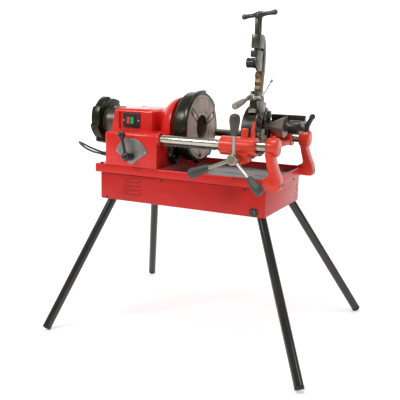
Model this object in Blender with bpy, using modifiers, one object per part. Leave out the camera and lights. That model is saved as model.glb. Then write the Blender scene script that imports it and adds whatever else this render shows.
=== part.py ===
"""Pipe threading machine on a tubular stand.

X runs along the spindle towards the tool end, -Y faces the operator and +Z is up.
All sizes are metres. Every piece is drawn in machine coordinates and hangs from one
empty, which puts the middle of the footprint on the origin.
"""
import math

import bmesh
import bpy
from mathutils import Matrix, Vector

# Driving dimensions
SHIFT_X = -0.0525
GAP = 0.0003
SPINDLE_Z = 0.757
BORE_R = 0.044
SPINDLE_R = 0.050
RAIL_END = 0.362
PIN_R = 0.008
RAIL_R = 0.016
RAIL_Y = 0.179
RAIL_Z = 0.721
CABINET_X = 0.330
CABINET_Y = 0.186
CABINET_Z = (0.481, 0.5825)
PAN_X = 0.346
PAN_Y = 0.200
PAN_Z = (0.583, 0.615)
BULKHEAD_X = -0.079
HEAD_LEFT = -0.300
HEAD_FRONT = -0.203
HEAD_BACK = 0.092
LEDGE_Z = 0.738
HOOD_Y = 0.106
HOOD_TOP = 0.818
CHUCK_R = 0.1205
RING_LENGTH = 0.054
PIVOT = (0.179, 0.768)
WHEEL_HUB = (0.234, -0.220, 0.681)
REAMER_Z = 0.777
CUTTER_X = 0.151
CUTTER_Y = 0.150
LEG_R = 0.016
FOOT_Z = -0.00076
LEG_TOPS = {"left": -0.292, "right": 0.310}
LEG_FEET = {"left": -0.441, "right": 0.549}
CORD_R = 0.004
COIL_CENTRE = (-0.290, 0.147)

for old in list(bpy.data.objects):
    bpy.data.objects.remove(old, do_unlink=True)

parts = bpy.data.collections.new("pipe_threading_machine")
cutters = bpy.data.collections.new("cutters")
bpy.context.scene.collection.children.link(parts)
bpy.context.scene.collection.children.link(cutters)
machine = bpy.data.objects.new("machine", None)
machine.location = (SHIFT_X, 0, 0)
parts.objects.link(machine)


# Materials
def material(name, colour, roughness, metallic):
    made = bpy.data.materials.new(name)
    made.use_nodes = True
    shader = made.node_tree.nodes["Principled BSDF"]
    shader.inputs["Base Color"].default_value = (*colour, 1)
    shader.inputs["Roughness"].default_value = roughness
    shader.inputs["Metallic"].default_value = metallic
    return made


RED = material("red_paint", (0.56, 0.03, 0.02), 0.35, 0)
BLACK = material("black_gloss", (0.012, 0.013, 0.011), 0.2, 0)
RUBBER = material("black_rubber", (0.02, 0.02, 0.02), 0.7, 0)
GREY = material("grey_plastic", (0.06, 0.06, 0.06), 0.5, 0)
CHROME = material("chrome", (0.62, 0.61, 0.57), 0.18, 1)
STEEL = material("machined_steel", (0.35, 0.31, 0.27), 0.4, 1)
IRON = material("dark_cast_iron", (0.05, 0.052, 0.05), 0.5, 0.6)
BRONZE = material("bronze", (0.45, 0.28, 0.1), 0.35, 1)
STOP_RED = material("stop_red", (0.7, 0.02, 0.02), 0.4, 0)
START_GREEN = material("start_green", (0.03, 0.45, 0.08), 0.4, 0)


# Modelling helpers
def finish_mesh(mesh):
    mesh.shade_smooth()
    mesh.set_sharp_from_angle(angle=math.radians(35))


def piece(name, bm, look, origin=(0, 0, 0)):
    """Make an object of a bmesh drawn in machine coordinates, with its origin at a point."""
    bmesh.ops.translate(bm, vec=-Vector(origin), verts=bm.verts)
    mesh = bpy.data.meshes.new(name)
    bm.to_mesh(mesh)
    bm.free()
    finish_mesh(mesh)
    mesh.materials.append(look)
    made = bpy.data.objects.new(name, mesh)
    made.location = origin
    made.parent = machine
    parts.objects.link(made)
    return made


def box(low, high, bm=None):
    bm = bm or bmesh.new()
    low, high = Vector(low), Vector(high)
    place = Matrix.Translation((low + high) / 2) @ Matrix.Diagonal((*(high - low), 1))
    bmesh.ops.create_cube(bm, size=1, matrix=place)
    return bm


def cone(start, end, radius, end_radius=None, sides=24, bm=None):
    """A cylinder, or a cone where the two radii differ, from one point to another."""
    bm = bm or bmesh.new()
    start, end = Vector(start), Vector(end)
    axis = end - start
    turn = axis.to_track_quat("Z", "Y").to_matrix().to_4x4()
    bmesh.ops.create_cone(
        bm, cap_ends=True, segments=sides, radius1=radius,
        radius2=radius if end_radius is None else end_radius,
        depth=axis.length, matrix=Matrix.Translation((start + end) / 2) @ turn)
    return bm


def ball(centre, radius, sides=16, bm=None):
    bm = bm or bmesh.new()
    bmesh.ops.create_uvsphere(bm, u_segments=sides, v_segments=sides // 2, radius=radius,
                              matrix=Matrix.Translation(centre))
    return bm


def hide_cutter(tool):
    parts.objects.unlink(tool)
    cutters.objects.link(tool)
    tool.hide_render = True
    tool.display_type = "WIRE"


def shape(target, bm, operation):
    """Cut a bmesh out of a piece, or join it on."""
    tool = piece(f"{target.name}_tool", bm, RED)
    hide_cutter(tool)
    change = target.modifiers.new(operation.lower(), "BOOLEAN")
    change.operation = operation
    change.object = tool
    change.solver = "EXACT"


def cut(target, bm):
    shape(target, bm, "DIFFERENCE")


def join(target, bm):
    shape(target, bm, "UNION")


def bevel(target, width, segments=2, angle=40):
    edge = target.modifiers.new("bevel", "BEVEL")
    edge.width = width
    edge.segments = segments
    edge.limit_method = "ANGLE"
    edge.angle_limit = math.radians(angle)


TURNS = {"X": (0, math.pi / 2, 0), "-Y": (math.pi / 2, 0, 0), "Z": (0, 0, 0)}


def turned(name, profile, look, origin, axis="X", steps=28, closed=True):
    """Turn a profile of (radius, distance along the axis) pairs about an axis through origin.

    The profile runs down the outer side from the far end of the axis to the near end.
    """
    mesh = bpy.data.meshes.new(name)
    points = [(radius, 0, along) for radius, along in profile]
    count = len(points)
    edges = [(i, i + 1) for i in range(count - 1)]
    if closed:
        edges.append((count - 1, 0))
    mesh.from_pydata(points, edges, [])
    mesh.materials.append(look)
    made = bpy.data.objects.new(name, mesh)
    made.location = origin
    made.rotation_euler = TURNS[axis]
    made.parent = machine
    parts.objects.link(made)
    screw = made.modifiers.new("turn", "SCREW")
    screw.steps = steps
    screw.render_steps = steps
    screw.use_merge_vertices = True
    screw.merge_threshold = 0.0001
    screw.use_smooth_shade = True
    return made


def ring(name, inner, outer, x_low, x_high, look, centre=(0, SPINDLE_Z), steps=28):
    """A plain ring about an axis along X."""
    profile = [(outer, x_high), (outer, x_low), (inner, x_low), (inner, x_high)]
    return turned(name, profile, look, (0, *centre), steps=steps)


def outline(points, thickness):
    """A flat outline in the local XY plane, given a thickness both ways, as a bmesh."""
    curve = bpy.data.curves.new("outline", "CURVE")
    curve.dimensions = "2D"
    curve.fill_mode = "BOTH"
    curve.extrude = thickness / 2
    line = curve.splines.new("POLY")
    line.points.add(len(points) - 1)
    for place, point in zip(line.points, points):
        place.co = (*point, 0, 1)
    line.use_cyclic_u = True
    guide = bpy.data.objects.new("outline", curve)
    cutters.objects.link(guide)
    bpy.context.view_layer.update()
    mesh = bpy.data.meshes.new_from_object(guide.evaluated_get(bpy.context.evaluated_depsgraph_get()))
    bpy.data.objects.remove(guide, do_unlink=True)
    bm = bmesh.new()
    bm.from_mesh(mesh)
    bpy.data.meshes.remove(mesh)
    bmesh.ops.remove_doubles(bm, verts=bm.verts, dist=1e-5)
    bmesh.ops.recalc_face_normals(bm, faces=bm.faces)
    return bm


def slab_yz(points, x_low, x_high):
    """A flat outline given as (y, z) points, from one x to another."""
    bm = outline(points, x_high - x_low)
    columns = Matrix(((0, 0, 1, (x_low + x_high) / 2), (1, 0, 0, 0), (0, 1, 0, 0), (0, 0, 0, 1)))
    bm.transform(columns)
    return bm


def slab_xz(points, y_low, y_high):
    """A flat outline given as (x, z) points, from one y to another."""
    bm = outline(points, y_high - y_low)
    columns = Matrix(((1, 0, 0, 0), (0, 0, -1, (y_low + y_high) / 2), (0, 1, 0, 0), (0, 0, 0, 1)))
    bm.transform(columns)
    return bm


def arc(centre, radius, first, last, count):
    """Points on an arc from one angle to another, in degrees."""
    angles = [math.radians(first + (last - first) * i / (count - 1)) for i in range(count)]
    return [(centre[0] + radius * math.cos(a), centre[1] + radius * math.sin(a)) for a in angles]


def lobes(centre, peak, notch, count, per_lobe, phase):
    """The rim of a hand ring: round lobes with a narrow notch between each two."""
    points = []
    for i in range(count * per_lobe):
        step = i / per_lobe
        dip = (0.5 + 0.5 * math.cos(2 * math.pi * step)) ** 3
        angle = math.radians(phase) + 2 * math.pi * i / (count * per_lobe)
        radius = peak - (peak - notch) * dip
        points.append((centre[0] + radius * math.cos(angle), centre[1] + radius * math.sin(angle)))
    return points


def gear_points(centre, tip, root, teeth):
    points = []
    for i in range(teeth):
        for offset, radius in ((-0.25, root), (-0.15, tip), (0.15, tip), (0.25, root)):
            angle = 2 * math.pi * (i + offset) / teeth
            points.append((centre[0] + radius * math.cos(angle), centre[1] + radius * math.sin(angle)))
    return points


# Stand
def make_cabinet():
    low, high = CABINET_Z
    cabinet = piece("cabinet", box((-CABINET_X, -CABINET_Y, low), (CABINET_X, CABINET_Y, high)), RED)
    wall = 0.002
    cut(cabinet, box((wall - CABINET_X, wall - CABINET_Y, low + wall),
                     (CABINET_X - wall, CABINET_Y - wall, high + 0.02)))
    for row in range(4):
        height = 0.512 + 0.0153 * row
        cut(cabinet, box((-0.233, -CABINET_Y - 0.01, height - 0.0015),
                         (-0.157, -CABINET_Y + 0.01, height + 0.0015)))
    cut(cabinet, cone((0.291, -CABINET_Y - 0.01, 0.4985), (0.291, -CABINET_Y + 0.01, 0.4985), 0.0105))
    return cabinet


def make_drain_plug():
    face = -CABINET_Y - GAP
    plug = piece("drain_plug", cone((0.291, face, 0.4985), (0.291, face - 0.0065, 0.4985), 0.0155, 0.0135), BLACK,
                 (0.291, face, 0.4985))
    join(plug, cone((0.291, face - 0.001, 0.4985), (0.291, face + 0.012, 0.4985), 0.0100))
    cut(plug, cone((0.291, face - 0.02, 0.4985), (0.291, face - 0.002, 0.4985), 0.0062, sides=6))


def make_legs():
    plug_length = 0.012
    for side in ("left", "right"):
        for row, sign in (("front", -1), ("rear", 1)):
            top = Vector((LEG_TOPS[side], sign * 0.160, CABINET_Z[0]))
            foot = Vector((LEG_FEET[side], sign * 0.394, FOOT_Z))
            along = (top - foot).normalized()
            tilt = math.acos(along.z)
            end = foot + along * (LEG_R * math.tan(tilt))
            seat = end + along * plug_length
            leg = piece(f"leg_{row}_{side}", cone(seat, top + along * 0.03, LEG_R, sides=20), BLACK, top)
            cut(leg, cone(seat - along * 0.02, top + along * 0.06, LEG_R - 0.002, sides=16))
            cut(leg, box(top + Vector((-0.1, -0.1, -GAP)), top + Vector((0.1, 0.1, 0.1))))
            cap = cone(end, seat - along * GAP, LEG_R, sides=20)
            cap_piece = piece(f"leg_cap_{row}_{side}", cap, RUBBER, end)
            bevel(cap_piece, 0.0015, 1)


def make_pan():
    low, high = PAN_Z
    wall = 0.005
    pan = piece("base_pan", box((-PAN_X, -PAN_Y, low), (PAN_X, PAN_Y, high)), RED)
    bevel(pan, 0.003, 1)
    cut(pan, box((BULKHEAD_X + 0.001, wall - PAN_Y, low + wall), (PAN_X - wall, PAN_Y - wall, high + 0.02)))
    cut(pan, box((-0.040, -0.165, low - 0.01), (0.320, 0.165, high)))
    cut(pan, box((wall - PAN_X, wall - PAN_Y, low - 0.01), (BULKHEAD_X - 0.005, PAN_Y - wall, high - wall)))
    cut(pan, box((-0.293, -0.085, low), (-0.130, 0.085, high + 0.01)))


def make_tray():
    floor = PAN_Z[0] + 0.005 + GAP
    tray = piece("chip_tray", box((-0.074, -0.193, floor), (0.338, 0.193, floor + 0.005)), IRON)
    for column in range(3):
        for row in range(3):
            middle = (0.015 + 0.120 * column, -0.110 + 0.110 * row)
            cut(tray, box((middle[0] - 0.035, middle[1] - 0.004, floor - 0.01),
                          (middle[0] + 0.035, middle[1] + 0.004, floor + 0.02)))


# Headstock
def bevel_edges(bm, width, segments, wanted):
    chosen = [edge for edge in bm.edges if wanted(*(vert.co for vert in edge.verts))]
    bmesh.ops.bevel(bm, geom=chosen, offset=width, segments=segments, profile=0.5, affect="EDGES", material=-1)


def make_housing():
    bottom = PAN_Z[1] + GAP
    lower = box((HEAD_LEFT, HEAD_FRONT, bottom), (BULKHEAD_X - 0.0008, HEAD_BACK, LEDGE_Z))
    bevel_edges(lower, 0.009, 2, lambda one, two: min(one.z, two.z) > LEDGE_Z - 0.001 or one.x == two.x < -0.2)
    housing = piece("headstock_housing", lower, RED)
    hood = box((-0.341, -HOOD_Y, 0.723), (-0.156, HOOD_Y, HOOD_TOP))
    for vert in hood.verts:
        if vert.co.x < -0.3 and vert.co.z > HOOD_TOP - 0.01:
            vert.co.x = -0.320
    bevel_edges(hood, 0.014, 3, lambda one, two: min(one.z, two.z) > HOOD_TOP - 0.01)
    join(housing, hood)
    join(housing, box((-0.127, HEAD_BACK - 0.01, bottom + 0.0004),
                      (BULKHEAD_X - 0.0004, -HEAD_FRONT, LEDGE_Z - 0.0006)))
    bell = [(0, BULKHEAD_X), (0.1080, BULKHEAD_X), (0.1080, -0.085), (0.1020, -0.105), (0.0940, -0.119),
            (0.0840, -0.128), (0.0690, -0.139), (0.0612, -0.150), (0.0610, -0.175), (0, -0.175)]
    flare = turned("headstock_bell", bell, RED, (0, 0, SPINDLE_Z), closed=False)
    hide_cutter(flare)
    blend = housing.modifiers.new("bell", "BOOLEAN")
    blend.operation = "UNION"
    blend.object = flare
    blend.solver = "EXACT"
    cut(housing, box((-0.294, -0.196, 0.5), (-0.196, 0.086, LEDGE_Z - 0.006)))
    cut(housing, box((-0.188, -0.1955, 0.5), (-0.101, 0.0855, LEDGE_Z - 0.014)))
    cut(housing, box((-0.121, 0.098, 0.5), (-0.085, 0.197, 0.700)))
    cut(housing, box((-0.303, -0.0895, LEDGE_Z - 0.008), (-0.160, 0.1000, HOOD_TOP - 0.006)))
    for side in (-1, 1):
        near, far = sorted((side * 0.064, side * 0.0885))
        cut(housing, box((-0.324, near, LEDGE_Z - 0.0075), (-0.301, far, HOOD_TOP - 0.0065)))
    cut(housing, cone((-0.36, 0, SPINDLE_Z), (-0.07, 0, SPINDLE_Z), 0.0563, sides=32))
    cut(housing, cone((-0.1225, 0, SPINDLE_Z), (-0.1015, 0, SPINDLE_Z), 0.083, sides=24))
    cut(housing, cone((-0.1018, 0, SPINDLE_Z), (-0.07, 0, SPINDLE_Z), 0.0625, sides=32))
    idler_z = SPINDLE_Z - 0.098
    cut(housing, cone((-0.21, 0, idler_z), (-0.090, 0, idler_z), 0.0085, sides=12))
    for side in (-1, 1):
        cut(housing, cone((-0.1005, side * RAIL_Y, RAIL_Z), (-0.05, side * RAIL_Y, RAIL_Z),
                          RAIL_R + 0.0004, sides=20))
    cut(housing, box((-0.301, -HOOD_Y - 0.02, 0.741), (-0.201, -0.098, 0.806)))
    cut(housing, box((-0.273, -HOOD_Y - 0.02, 0.751), (-0.224, -0.08, 0.793)))
    cut(housing, cone((-0.1835, HEAD_FRONT - 0.02, 0.653), (-0.1835, HEAD_FRONT + 0.012, 0.653),
                      0.0086, sides=12))
    cut(housing, cone((HEAD_LEFT - 0.02, -0.175, 0.650), (HEAD_LEFT + 0.02, -0.175, 0.650), 0.0075, sides=12))


def make_bushes():
    bore = SPINDLE_R + 2 * GAP
    ring("front_bush", bore, 0.062, -0.1005, BULKHEAD_X - 0.001, BRONZE)
    ring("rear_bush", bore, 0.0558, -0.330, -0.306, BRONZE)


def make_spindle():
    ring("spindle", BORE_R, SPINDLE_R, -0.400, -0.046, STEEL)
    gear = slab_yz(gear_points((0, SPINDLE_Z), 0.0785, 0.0755, 15), -0.119, -0.105)
    spindle_gear = piece("spindle_gear", gear, STEEL, (0, 0, SPINDLE_Z))
    cut(spindle_gear, cone((-0.13, 0, SPINDLE_Z), (-0.09, 0, SPINDLE_Z), SPINDLE_R + 0.0006, sides=24))


def make_gear_train():
    idler_z = SPINDLE_Z - 0.098
    motor_z = idler_z - 0.0594
    small = slab_yz(gear_points((0, idler_z), 0.0188, 0.0160, 10), -0.119, -0.105)
    idler = piece("idler_gear", small, STEEL, (0, 0, idler_z))
    join(idler, slab_yz(gear_points((0, idler_z), 0.0464, 0.0438, 12), -0.180, -0.166))
    join(idler, cone((-0.196, 0, idler_z), (-0.0905, 0, idler_z), 0.0082, sides=20))
    pinion = slab_yz(gear_points((0, motor_z), 0.0122, 0.0098, 8), -0.180, -0.164)
    motor_gear = piece("motor_pinion", pinion, STEEL, (0, 0, motor_z))
    join(motor_gear, cone((-0.1962, 0, motor_z), (-0.1795, 0, motor_z), 0.0065, sides=16))
    case = [(0, -0.1965), (0.050, -0.1965), (0.060, -0.203), (0.060, -0.280), (0.052, -0.288), (0, -0.288)]
    turned("motor", case, IRON, (0, 0, motor_z), steps=32, closed=False)


def make_oil_pump():
    profile = [(0, -0.0595), (0.036, -0.0595), (0.042, -0.063), (0.043, BULKHEAD_X + GAP), (0, BULKHEAD_X + GAP)]
    turned("oil_pump", profile, BLACK, (0, -0.080, 0.663), steps=32, closed=False)


# Front chuck
def make_chuck():
    profile = [(CHUCK_R, 0), (CHUCK_R, -0.024), (CHUCK_R - 0.004, -0.044), (0.112, -0.044), (0.112, -0.026),
               (0.066, -0.026), (0.0615, -0.030), (0.0615, -0.0785), (SPINDLE_R + GAP, -0.0785),
               (SPINDLE_R + GAP, -0.0457), (BORE_R, -0.0457), (BORE_R, -0.002), (BORE_R + 0.002, 0)]
    body = turned("chuck_body", profile, STEEL, (0, 0, SPINDLE_Z), steps=40)
    for angle in (143, 23, 263):
        turn = Matrix.Translation((0, 0, SPINDLE_Z)) @ Matrix.Rotation(math.radians(angle), 4, "X")
        slot = box((-0.018, 0.035, -0.012), (0.01, 0.112, 0.012))
        slot.transform(turn)
        cut(body, slot)
        jaw = box((-0.0177, 0.0455, -0.0117), (-0.0006, 0.104, 0.0117))
        for vert in jaw.verts:
            if vert.co.y < 0.05 and vert.co.x < -0.01:
                vert.co.y += 0.004
        jaw.transform(turn)
        direction = turn.to_3x3() @ Vector((0, 1, 0))
        jaw_piece = piece(f"chuck_jaw_{(143, 23, 263).index(angle) + 1}", jaw, STEEL,
                          Vector((0, 0, SPINDLE_Z)) + direction * 0.0455)
        bevel(jaw_piece, 0.0015, 1)
        for side in (-17, 17):
            spot = math.radians(angle + 60 + side)
            place = (0, 0.056 * math.cos(spot), SPINDLE_Z + 0.056 * math.sin(spot))
            cut(body, cone((-0.008, place[1], place[2]), (0.005, place[1], place[2]), 0.0024, sides=8))


def make_chuck_ring():
    rim = lobes((0, SPINDLE_Z), 0.136, 0.1265, 8, 7, 30)
    hand_ring = piece("chuck_ring", slab_yz(rim, -RING_LENGTH, 0), BLACK, (0, 0, SPINDLE_Z))
    cut(hand_ring, cone((-0.0465, 0, SPINDLE_Z), (0.01, 0, SPINDLE_Z), CHUCK_R + 0.0010, sides=48))
    cut(hand_ring, cone((-0.07, 0, SPINDLE_Z), (-0.03, 0, SPINDLE_Z), 0.0625, sides=32))


# Rear centring chuck
def make_rear_chuck():
    profile = [(0.062, -0.345), (0.062, -0.432), (0.046, -0.432), (0.046, -0.4003),
               (SPINDLE_R + GAP, -0.4003), (SPINDLE_R + GAP, -0.345)]
    turned("rear_sleeve", profile, STEEL, (0, 0, SPINDLE_Z))
    rim = lobes((0, SPINDLE_Z), 0.098, 0.087, 8, 6, 48)
    hand_ring = piece("rear_ring", slab_yz(rim, -0.442, -0.404), BLACK, (0, 0, SPINDLE_Z))
    cut(hand_ring, cone((-0.4328, 0, SPINDLE_Z), (-0.410, 0, SPINDLE_Z), 0.080, sides=24))
    cut(hand_ring, cone((-0.42, 0, SPINDLE_Z), (-0.39, 0, SPINDLE_Z), 0.0625, sides=32))
    cut(hand_ring, cone((-0.46, 0, SPINDLE_Z), (-0.42, 0, SPINDLE_Z), 0.046, sides=24))


# Switch
def make_switch():
    plate_back = -0.098 - GAP
    switch = piece("switch_unit", box((-0.286, plate_back - 0.003, 0.7465), (-0.2115, plate_back, 0.8005)), GREY)
    join(switch, box((-0.271, plate_back - 0.001, 0.753), (-0.226, -0.070, 0.791)))
    buttons = (("stop_button", -0.2605, STOP_RED), ("start_button", -0.2435, START_GREEN))
    for name, middle, look in buttons:
        cut(switch, box((middle - 0.0070, -0.12, 0.7595), (middle + 0.0070, -0.0900, 0.7865)))
        button = box((middle - 0.0066, -0.1045, 0.7600), (middle + 0.0066, -0.0935, 0.7860))
        made = piece(name, button, look, (middle, -0.0935, 0.773))
        bevel(made, 0.001, 1)


# Gear lever
def make_gear_lever():
    middle = (-0.1835, 0.653)
    fan = arc(middle, 0.0675, 13, 167, 14)
    fan += [(-0.213, 0.6445)]
    fan += arc((middle[0], 0.641), 0.016, 205, 335, 7)
    fan += [(-0.154, 0.6445)]
    face = HEAD_FRONT - GAP
    plate = piece("sector_plate", slab_xz(fan, face - 0.003, face), STEEL)
    cut(plate, cone((middle[0], face - 0.02, middle[1]), (middle[0], face + 0.01, middle[1]), 0.0085, sides=16))
    front = face - 0.003 - GAP
    lever = piece("gear_lever", cone((middle[0], front, middle[1]), (middle[0], -0.236, middle[1]), 0.0145, sides=24),
                  BLACK, (middle[0], front, middle[1]))
    knob = Vector((-0.204, -0.238, 0.732))
    ball_centre = Vector((middle[0] - 0.002, -0.238, 0.656))
    join(lever, ball(ball_centre, 0.0165, sides=14))
    join(lever, cone(ball_centre, knob, 0.0052, 0.0040, sides=12))
    join(lever, cone((middle[0], front - 0.001, middle[1]), (middle[0], -0.193, middle[1]), 0.0081, sides=16))
    grip = piece("lever_knob", ball(knob, 0.0145, sides=14), RUBBER, knob)
    toward = (ball_centre - knob).normalized()
    cut(grip, cone(knob + toward * 0.03, knob - toward * 0.002, 0.0052, 0.0044, sides=12))


# Rails and their end brackets
def make_rails():
    for name, side in (("front_rail", -1), ("rear_rail", 1)):
        rail = cone((-0.100, side * RAIL_Y, RAIL_Z), (RAIL_END, side * RAIL_Y, RAIL_Z), RAIL_R, sides=24)
        piece(name, rail, CHROME, (-0.1, side * RAIL_Y, RAIL_Z))
        add_bracket(f"rail_bracket_{name.split('_')[0]}", side)
    teeth = 20
    pitch = 0.378 / teeth
    top = RAIL_Z - RAIL_R - GAP
    points = [(0.316, top), (-0.062, top)]
    for i in range(teeth):
        left = -0.062 + pitch * i
        points += [(left + 0.05 * pitch, top - 0.003), (left + 0.3 * pitch, top - 0.006),
                   (left + 0.7 * pitch, top - 0.006), (left + 0.95 * pitch, top - 0.003)]
    piece("feed_rack", slab_xz(points, -RAIL_Y - 0.006, -RAIL_Y + 0.006), STEEL)


def add_bracket(name, side):
    arm = [(0.328, 0.705), (0.336, 0.672), (0.345, 0.640), (0.344, 0.630), (0.328, 0.621), (0.326, 0.588),
           (0.330, 0.583), (0.380, 0.583), (0.385, 0.588), (0.385, 0.612), (0.375, 0.640), (0.364, 0.668),
           (0.354, 0.705)]
    outer, inner = side * 0.211, side * 0.166
    bracket = piece(name, slab_xz(arm, min(outer, inner), max(outer, inner)), RED,
                    (0.348, side * RAIL_Y, RAIL_Z))
    join(bracket, cone((0.3285, side * RAIL_Y, RAIL_Z + 0.002), (0.3685, side * RAIL_Y, RAIL_Z + 0.002), 0.031))
    edge = side * (PAN_Y + GAP)
    cut(bracket, box((0.2, min(edge, 0), 0.5), (PAN_X + GAP, max(edge, 0), PAN_Z[1] + GAP)))
    cut(bracket, cone((0.30, side * RAIL_Y, RAIL_Z), (RAIL_END + GAP, side * RAIL_Y, RAIL_Z), RAIL_R + GAP))


# Carriage
def make_carriage():
    carriage = piece("carriage", cone((0.163, -RAIL_Y, RAIL_Z - 0.003), (0.291, -RAIL_Y, RAIL_Z - 0.003), 0.032),
                     RED, (0.2285, 0, RAIL_Z))
    join(carriage, cone((0.165, RAIL_Y, RAIL_Z), (0.300, RAIL_Y, RAIL_Z), 0.030))
    join(carriage, box((0.161, -RAIL_Y, 0.697), (0.184, RAIL_Y, 0.717)))
    join(carriage, box((0.252, -RAIL_Y, 0.697), (0.297, RAIL_Y, 0.717)))
    join(carriage, box((0.2355, -RAIL_Y - 0.010, RAIL_Z), (0.2555, -RAIL_Y + 0.010, 0.779)))
    join(carriage, slab_yz([(-0.170, 0.735), (-0.140, 0.800), (-0.128, 0.710)], 0.2580, 0.2665))
    apron = [(0.200, 0.700), (0.207, 0.655), (0.234, 0.656), (0.270, 0.668), (0.270, 0.700)]
    join(carriage, slab_xz(apron, -0.209, -0.165))
    for x_low, x_high in ((0.1655, 0.189), (0.246, 0.260), (0.2925, 0.2995)):
        lug = [(PIVOT[0] - 0.013, RAIL_Z), (PIVOT[0] + 0.013, RAIL_Z)] + arc(PIVOT, 0.013, 0, 180, 7)
        join(carriage, slab_yz(lug, x_low, x_high))
    join(carriage, cone((0.130, *PIVOT), (0.2985, *PIVOT), PIN_R, sides=20))
    for side in (-1, 1):
        cut(carriage, cone((0.1, side * RAIL_Y, RAIL_Z), (0.4, side * RAIL_Y, RAIL_Z), RAIL_R + GAP))
    cut(carriage, box((0.1, -RAIL_Y - 0.008, RAIL_Z - 0.024), (0.4, -RAIL_Y + 0.008, RAIL_Z)))
    hub_x, hub_z = WHEEL_HUB[0], WHEEL_HUB[2]
    cut(carriage, cone((hub_x, -0.25, hub_z), (hub_x, -0.1, hub_z), PIN_R + GAP, sides=20))
    cut(carriage, cone((hub_x, -RAIL_Y - 0.010, hub_z), (hub_x, -RAIL_Y + 0.010, hub_z), 0.0185, sides=32))


def make_feed():
    hub_x, hub_y, hub_z = WHEEL_HUB
    shaft = piece("feed_shaft", cone((hub_x, hub_y + 0.002, hub_z), (hub_x, -0.152, hub_z), PIN_R, sides=20),
                  STEEL, WHEEL_HUB)
    pinion = slab_xz(gear_points((hub_x, hub_z), 0.0168, 0.0138, 12), -RAIL_Y - 0.007, -RAIL_Y + 0.007)
    join(shaft, pinion)
    wheel = piece("feed_wheel", cone((hub_x, hub_y - 0.0397, hub_z), (hub_x, hub_y, hub_z), 0.018, sides=32),
                  CHROME, (hub_x, hub_y, hub_z))
    grip_length = 0.073
    for spoke in range(3):
        angle = math.radians(82 + 120 * spoke)
        root = Vector((hub_x, hub_y - 0.022, hub_z))
        tip = root + Vector((0.153 * math.cos(angle), -0.050, 0.153 * math.sin(angle)))
        along = (tip - root).normalized()
        start = tip - along * grip_length
        join(wheel, cone(root, start + along * 0.050, 0.0065, sides=12))
        mid = start + along * grip_length * 0.62
        knob = piece(f"grip_{spoke + 1}", cone(start, tip, 0.0095, 0.0175, sides=16), GREY, start)
        bevel(knob, 0.008, 2, angle=60)
        cut(knob, cone(start - along * 0.01, mid + along * 0.006, 0.0065 + 0.0005, sides=12))
    cut(wheel, cone((hub_x, hub_y - 0.012, hub_z), (hub_x, hub_y + 0.02, hub_z), PIN_R + GAP, sides=20))


# Die head
def make_die_head():
    centre = (0, SPINDLE_Z)
    face = arc(centre, 0.092, 0, 360, 41)[:-1]
    head = piece("die_head", slab_yz(face, 0.193, 0.241), IRON, (0.2, *PIVOT))
    bevel(head, 0.003, 1, angle=60)
    join(head, box((0.198, 0.060, 0.7525), (0.236, PIVOT[0], 0.777)))
    join(head, cone((0.1965, *PIVOT), (0.2380, *PIVOT), 0.016, sides=24))
    join(head, box((0.200, -0.036, 0.825), (0.2363, 0.022, 0.884)))
    join(head, slab_yz([(-0.066, 0.887), (0.0215, 0.886), (0.012, 0.853), (-0.040, 0.806)], 0.2305, 0.248))
    cut(head, cone((0.18, *centre), (0.26, *centre), 0.046, sides=32))
    cut(head, cone((0.2315, *centre), (0.26, *centre), 0.0447, 0.070, sides=32))
    cut(head, cone((0.17, *PIVOT), (0.25, *PIVOT), PIN_R + GAP, sides=20))
    cut(head, cone((0.219, -0.06, 0.872), (0.219, 0.05, 0.872), 0.0053, sides=16))
    cut(head, box((0.19, -0.055, 0.862), (0.208, 0.005, 0.90)))


def make_die_levers():
    """The throw-out lever on the head's front top edge, and the size clamp with its ball-ended rod."""
    root = Vector((0.199, -0.030, 0.874))
    tip = Vector((0.186, -0.140, 0.846))
    lever = piece("die_lever", cone(root + Vector((0, 0.026, 0.006)), tip, 0.0070, 0.0125, sides=20), CHROME,
                  (0.199, -0.012, 0.879))
    bevel(lever, 0.005, 2, angle=50)
    clamp = piece("die_clamp", cone((0.219, 0.0225, 0.872), (0.219, 0.038, 0.872), 0.0105, sides=20), CHROME,
                  (0.219, 0.0225, 0.872))
    join(clamp, cone((0.219, -0.034, 0.872), (0.219, 0.024, 0.872), 0.0050, sides=16))
    end = Vector((0.250, 0.048, 0.934))
    join(clamp, cone((0.219, 0.030, 0.872), end, 0.0035, sides=10))
    join(clamp, ball(end, 0.0062, sides=12))


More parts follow.
